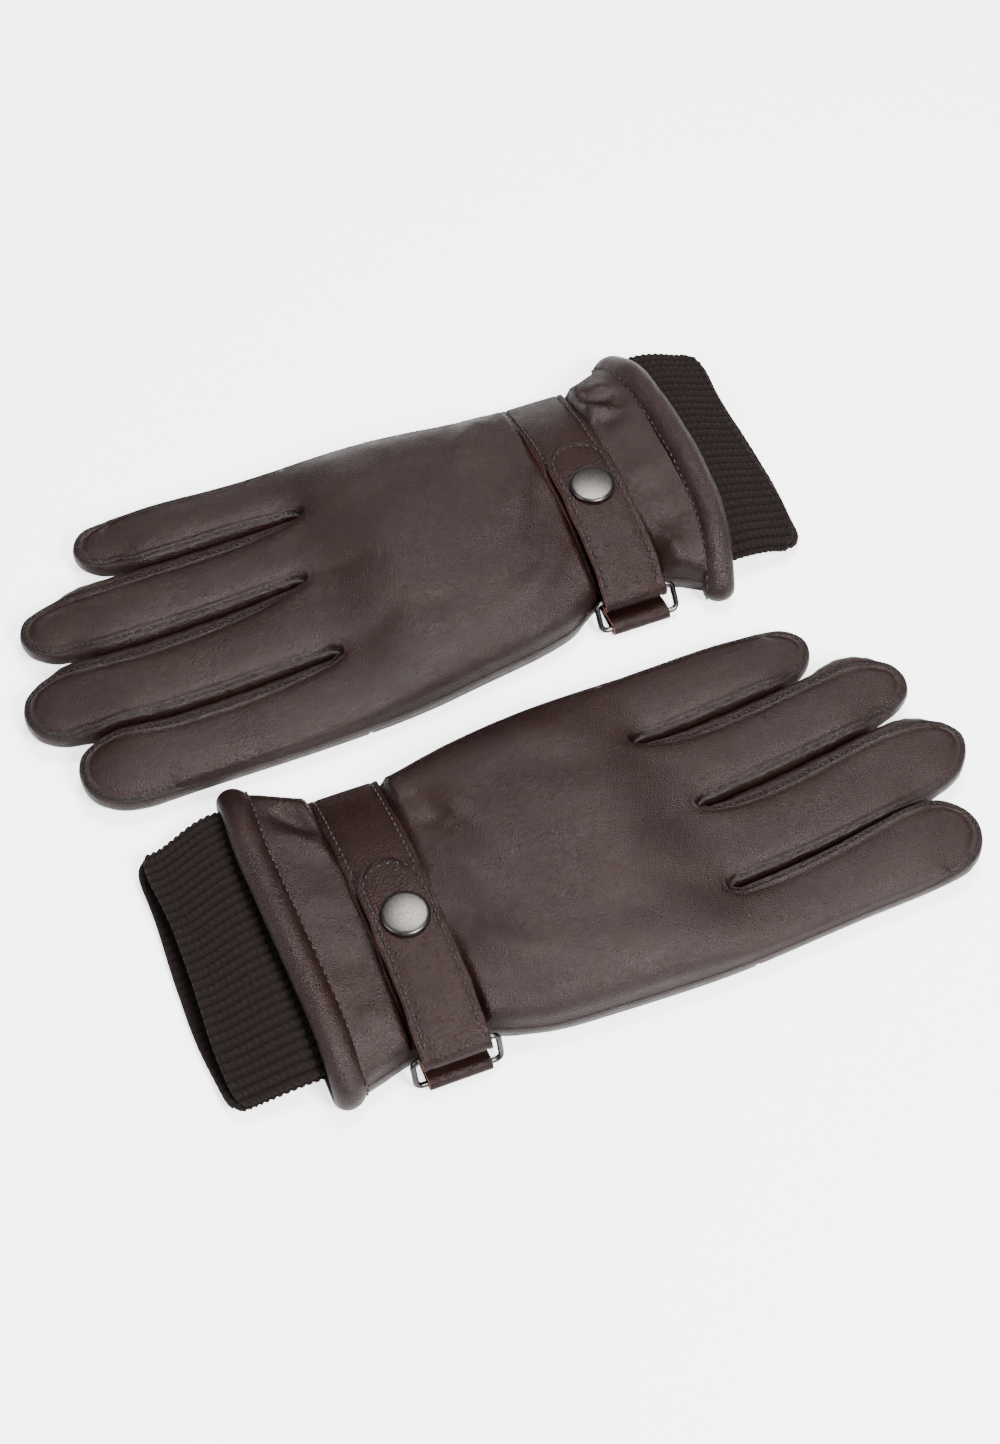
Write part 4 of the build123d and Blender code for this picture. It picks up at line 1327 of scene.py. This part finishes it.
def make_strap(glove):
    """Fixed run, flap and tab, with their stitches."""
    base, flap = strap_arcs(glove)
    lower, bar = ring_bars(glove)
    far = node_box(glove, "strap_base")[1][1] + BASE_TUCK[glove.name]
    course = arc_course(base, bar[0] + BASE_END, far)
    strip = strap_strip(glove, "strap_base", course, BASE_WIDTH, STRAP_THICK)
    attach(strip, glove.body("hand"))
    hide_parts(f"{glove.name}_strap_base")

    centre = (flap.apex, flap.top - flap.radius)
    outwards = math.atan2(bar[1] - centre[1], bar[0] - centre[0])
    fold = []
    for turn in np.linspace(BAR_WRAP, 0, 16):
        angle = outwards + math.radians(turn)
        direction = (math.cos(angle), math.sin(angle))
        fold.append(((bar[0] + FOLD_RADIUS * direction[0], bar[1] + FOLD_RADIUS * direction[1]), direction))
    start = bar[0] + FOLD_RADIUS * math.cos(outwards)
    round_from = FLAP_TIP - FLAP_WIDTH / 2
    straight = arc_course(flap, start, round_from)
    tip_turns = np.linspace(0, math.pi / 2, 18)[1:]
    tip = []
    for turn in tip_turns:
        across = round_from + FLAP_WIDTH / 2 * math.sin(turn)
        tip.append((flap.point(across), flap.normal(across)))
    course = fold + straight[1:] + tip
    widths = [1.0] * (len(fold) + len(straight) - 1) + [max(math.cos(t) ** 0.9, 0.02) for t in tip_turns]
    strip = strap_strip(glove, "strap_flap", course, FLAP_WIDTH, STRAP_THICK, widths, wave=0.2)
    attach(strip, glove.body("strap_flap"))
    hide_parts(f"{glove.name}_strap_flap")
    make_strap_stitches(glove, base, flap, bar, far, round_from)
    make_tab(glove, lower)
    make_press_stud(glove, flap)


def arc_line(arc, along, start, end, offset, step=0.8):
    """A line on a strap at a constant place along the glove: points and normals."""
    across = np.linspace(start, end, max(2, int(abs(end - start) / step)))
    points = [(along, *arc.point(y, offset)) for y in across]
    normals = [(0.0, *arc.normal(y)) for y in across]
    return points, normals


def make_strap_stitches(glove, base, flap, bar, far, round_from):
    """Rows of stitches inside the strap's two edges, and round the flap's tip."""
    lift = STRAP_THICK / 2 - 0.04
    rows = []
    for sign in (-1, 1):
        along = sign * (BASE_WIDTH / 2 - STITCH_INSET)
        points, normals = arc_line(base, along, bar[0] + BASE_END + 1, far - 0.4, lift)
        rows.append((points, normals, *BASE_THREAD))
    piece = stitch_object(glove, "strap_stitches", rows)
    finish_piece(piece, "thread", glove.body("hand"))
    inner = FLAP_WIDTH / 2 - STITCH_INSET
    low, low_up = arc_line(flap, -inner, bar[0] + 1.0, round_from, lift)
    high, high_up = arc_line(flap, inner, round_from, bar[0] + 1.0, lift)
    turns = np.linspace(-math.pi / 2, math.pi / 2, 40)[1:-1]
    tip = [(inner * math.sin(t), *flap.point(round_from + inner * math.cos(t), lift)) for t in turns]
    tip_up = [(0.0, *flap.normal(round_from + inner * math.cos(t))) for t in turns]
    row = (low + tip + high, low_up + tip_up + high_up, *FLAP_THREAD)
    piece = stitch_object(glove, "flap_stitches", [row])
    finish_piece(piece, "thread", glove.body("strap_flap"))


TAB_WIDTH = 19.6
TAB_THICK = 1.2


def make_tab(glove, lower):
    """The leather tab: round the ring's lower bar, both plies running in under the hand."""
    reach = WIRE + 0.25 + TAB_THICK / 2
    path = [(lower[0] + 11.0, lower[1] - reach), (lower[0] + 5.5, lower[1] - reach)]
    for turn in np.linspace(-90, -290, 13):
        angle = math.radians(turn)
        path.append((lower[0] + reach * math.cos(angle), lower[1] + reach * math.sin(angle)))
    for along, height in ((2.6, reach - 0.3), (5.0, 0.75), (8.0, -0.3)):
        path.append((lower[0] + along, lower[1] + height))
    line = spline(path, 0.7)
    tangent = np.gradient(line, axis=0)
    tangent /= np.linalg.norm(tangent, axis=1)[:, None]
    normals = np.column_stack((tangent[:, 1], -tangent[:, 0]))
    course = [(tuple(p), tuple(n)) for p, n in zip(line, normals)]
    tab = strap_strip(glove, "ring_tab", course, TAB_WIDTH, TAB_THICK, wave=0.0)
    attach(tab, glove.body("hand"))
    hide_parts(f"{glove.name}_ring_tab")


# The cap's half section: (radius, height over the flap)
CAP_PROFILE = (
    (6.7, 0.0), (7.3, 0.02), (7.52, 0.4), (7.42, 0.85), (7.1, 1.2), (6.6, 1.42),
    (5.4, 1.62), (3.6, 1.8), (1.8, 1.9),
)
CAP_CROWN = 1.94
CAP_SIDES = 96
CAP_CLEAR = 0.05


def make_press_stud(glove, flap):
    """The press stud's domed cap. Its socket and stud are the CAD nodes."""
    seat = np.array((0.0, *flap.point(0.0, STRAP_THICK / 2 + CAP_CLEAR)))
    normal = np.array((0.0, *flap.normal(0.0)))
    side = np.array((1.0, 0.0, 0.0))
    front = np.cross(normal, side)
    profile = spline(CAP_PROFILE, 0.25)
    points = []
    for radius, height in profile:
        for k in range(CAP_SIDES):
            angle = 2 * math.pi * k / CAP_SIDES
            spoke = side * math.cos(angle) + front * math.sin(angle)
            points.append(seat + normal * height + spoke * radius)
    count = len(profile)
    faces = tube_faces(count, CAP_SIDES)
    points.append(seat + normal * CAP_CROWN)
    crown = len(points) - 1
    last = (count - 1) * CAP_SIDES
    faces += [(last + k, last + (k + 1) % CAP_SIDES, crown) for k in range(CAP_SIDES)]
    points.append(seat)
    foot = len(points) - 1
    faces += [((k + 1) % CAP_SIDES, k, foot) for k in range(CAP_SIDES)]
    cap = mesh_object(f"{glove.name}_snap_cap", glove.place(points), glove.faces(faces))
    finish_piece(cap, "snap_metal", glove.body("strap_flap"), [f"{glove.name}_snap_cap"])


# ---------------------------------------------------------------- thumb and linings

THUMBS = {"left": ((31.0, -18.0), (74.5, -8.0)), "right": ((31.0, -21.0), (75.5, -15.0))}
THUMB_SIDES = 56
THUMB_HALF, THUMB_NARROWS = 11.4, 0.9  # half the width at the root, and what the tip loses
THUMB_TALL, THUMB_MIDDLE = 4.6, 4.9  # half the height, and the height of its middle
THUMB_ROUND = 0.72  # share of the length where the tip's rounding begins
THUMB_POWERS = (0.9, 0.8)
THUMB_FLOOR = 0.12
THUMB_LINING = 1.3
THUMB_BEND = 12.0


def thumb_surface(glove, inset):
    """The folded thumb as a flattened bag, shrunk by inset: points, faces, root and direction."""
    root, tip = (np.array(p) for p in THUMBS[glove.name])
    reach = tip - root
    length = np.linalg.norm(reach)
    direction = reach / length
    lateral = np.array((-direction[1], direction[0]))
    around = THUMB_SIDES
    angle = np.linspace(0, 2 * math.pi, around, endpoint=False)
    closing = 0.8 + 0.2 * np.sin(np.linspace(0, math.pi / 2, 12))
    stations = np.concatenate((np.linspace(0.0, 0.8, 30), closing[1:]))
    points = []
    for share in stations:
        round_root = min(1.0, 0.75 + share / 0.1 * 0.25)
        round_tip = math.sqrt(max(0.0, 1 - max(0.0, (share - THUMB_ROUND) / (1 - THUMB_ROUND)) ** 2.6))
        half = (THUMB_HALF - THUMB_NARROWS * share) * round_root * max(round_tip, 0.08) - inset
        tall = THUMB_TALL * min(1.0, 0.8 + share) * max(round_tip, 0.12) ** 0.6 - inset
        section = lens(angle, max(half, 0.2), max(tall, 0.15), THUMB_POWERS)
        middle = root + direction * (inset + share * (length - 2 * inset))
        height = section[:, 1] + (THUMB_MIDDLE + 0.12 * np.sin(share * 40 + angle * 3))
        flat = middle[None, :] + lateral[None, :] * section[:, :1]
        points.append(np.column_stack((flat, np.maximum(height, THUMB_FLOOR + inset))))
    faces = tube_faces(len(stations), around)
    faces.append(tuple(reversed(range(around))))
    last = (len(stations) - 1) * around
    faces.append(tuple(last + k for k in range(around)))
    return np.vstack(points), faces, root, direction


def make_thumb(glove):
    """The thumb's leather and lining."""
    for part, inset in (("leather", 0.0), ("lining", THUMB_LINING)):
        points, faces, root, direction = thumb_surface(glove, inset)
        name = f"{glove.name}_thumb_{part}"
        piece = mesh_object(name, glove.place(points), glove.faces([tuple(reversed(f)) for f in faces]))
        finish_piece(piece, part, None, [name])
        ends = np.vstack((root, root + direction * THUMB_BEND))
        ends = glove.place(np.column_stack((ends, (5.0, 5.0)))) * MM
        glove.body("hand")
        glove.body("thumb")
        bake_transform(piece)


LINING_INSET = 2.4
LINING_STEP = 2.6
LINING_UNDER, LINING_OVER = 1.5, 1.3  # below the back, and above the palm
LINING_HALF = 0.3
LINING_START = HEM_EDGE + 4.0
LINING_OPEN = HEM_EDGE + 6


def heights_at(points, shape, key):
    """The leather's height over or under some places, from its nearest points."""
    fine = shape["points"]
    total = np.zeros(len(points))
    for dx, dy in ((0, 0), (0.9, 0), (-0.9, 0), (0, 0.9), (0, -0.9)):
        total += shape[key][nearest(points + np.array((dx, dy)), fine)[1]]
    return total / 5


def make_linings(glove, shape):
    """The fleece lining inside the leather, split at the fingers like the leather."""
    outline = shape["outline"] - shape["normals"] * LINING_INSET
    outline = outline[outline[:, 0] > LINING_START][::2]
    cut = crotch_line(shape["outline"], shape["kinds"])
    points, triangles, ids = panel_mesh(outline, cut, LINING_STEP)
    count = len(points)
    top = heights_at(points, shape, "back") - LINING_UNDER
    low = heights_at(points, shape, "palm") + LINING_OVER
    middle = (top + low) / 2
    top, low = np.maximum(top, middle + LINING_HALF), np.minimum(low, middle - LINING_HALF)
    surface = np.column_stack((np.vstack((points, points)), np.concatenate((top, low))))
    faces = [tuple(t) for t in triangles] + [(c + count, b + count, a + count) for a, b, c in triangles]
    for a, b in zip(ids, np.roll(ids, -1)):
        if max(points[a][0], points[b][0]) > LINING_OPEN:
            faces.append((a, a + count, b + count, b))
    owner = split_at_roots(glove, surface, faces, cut)
    placed, turned = glove.place(surface), glove.faces(faces)
    shading = smooth_normals(placed, turned)
    for number, part in enumerate(("hand",) + FINGERS):
        name = f"{glove.name}_{part}_lining"
        piece = part_object(name, placed, turned, shading, np.flatnonzero(owner == number))
        finish_piece(piece, "lining", None, [name])
        follow(glove, piece, part)


STITCH_IN, SIDE_STITCH_IN = 0.3, 2.3  # in from the outline, on the fingers and on the side seam


def seam_stitches(glove, shape):
    """Fine stitches beside the seams of the fingers and along the little finger's side."""
    outline, kinds, normals = shape["outline"], shape["kinds"], shape["normals"]
    inner = outline - normals * STITCH_IN
    side = outline - normals * SIDE_STITCH_IN
    owners = owner_of(glove, inner, crotch_line(outline, kinds))
    rows = {number: [] for number in range(5)}
    run, current = [], None
    for k, kind in enumerate(kinds + ["end"]):
        sewn = kind in ("wall", "tip", "seam")
        mark = (owners[k], kind == "seam") if k < len(outline) and sewn else None
        if mark != current:
            if current is not None and len(run) > 4:
                rows[current[0]].append((run, current[1]))
            run, current = [], mark
        if mark is not None:
            run.append(k)
    for number, part in enumerate(("hand",) + FINGERS):
        made = []
        for run, flank in rows[number]:
            line = (side if flank else inner)[run]
            high = heights_at(line, shape, "back") + (0.0 if flank else 0.02)
            ups = np.tile(UP, (len(run), 1)) + np.column_stack((normals[run] * 0.5, np.zeros(len(run))))
            made.append((np.column_stack((line, high + 0.04)), ups, *SEAM_THREAD))
        if not made:
            continue
        piece = stitch_object(glove, f"{part}_stitches", made)
        finish_piece(piece, "thread")
        follow(glove, piece, part)


CAD_FINISH = {"strap_ring": "ring_metal", "snap_socket": "snap_metal", "snap_stud": "snap_metal"}


def finish_cad_nodes(glove):
    """Materials for the CAD nodes that stay in view."""
    for part, material in CAD_FINISH.items():
        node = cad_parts[f"{glove.name}_{part}"]
        for spot in node.material_slots:
            spot.material = MATERIALS[material]


make_camera()
make_studio()
for glove in (LEFT, RIGHT):
    shape = make_leather(glove)
    make_hem(glove, shape)
    make_knit(glove)
    make_strap(glove)
    make_thumb(glove)
    make_linings(glove, shape)
    seam_stitches(glove, shape)
    finish_cad_nodes(glove)
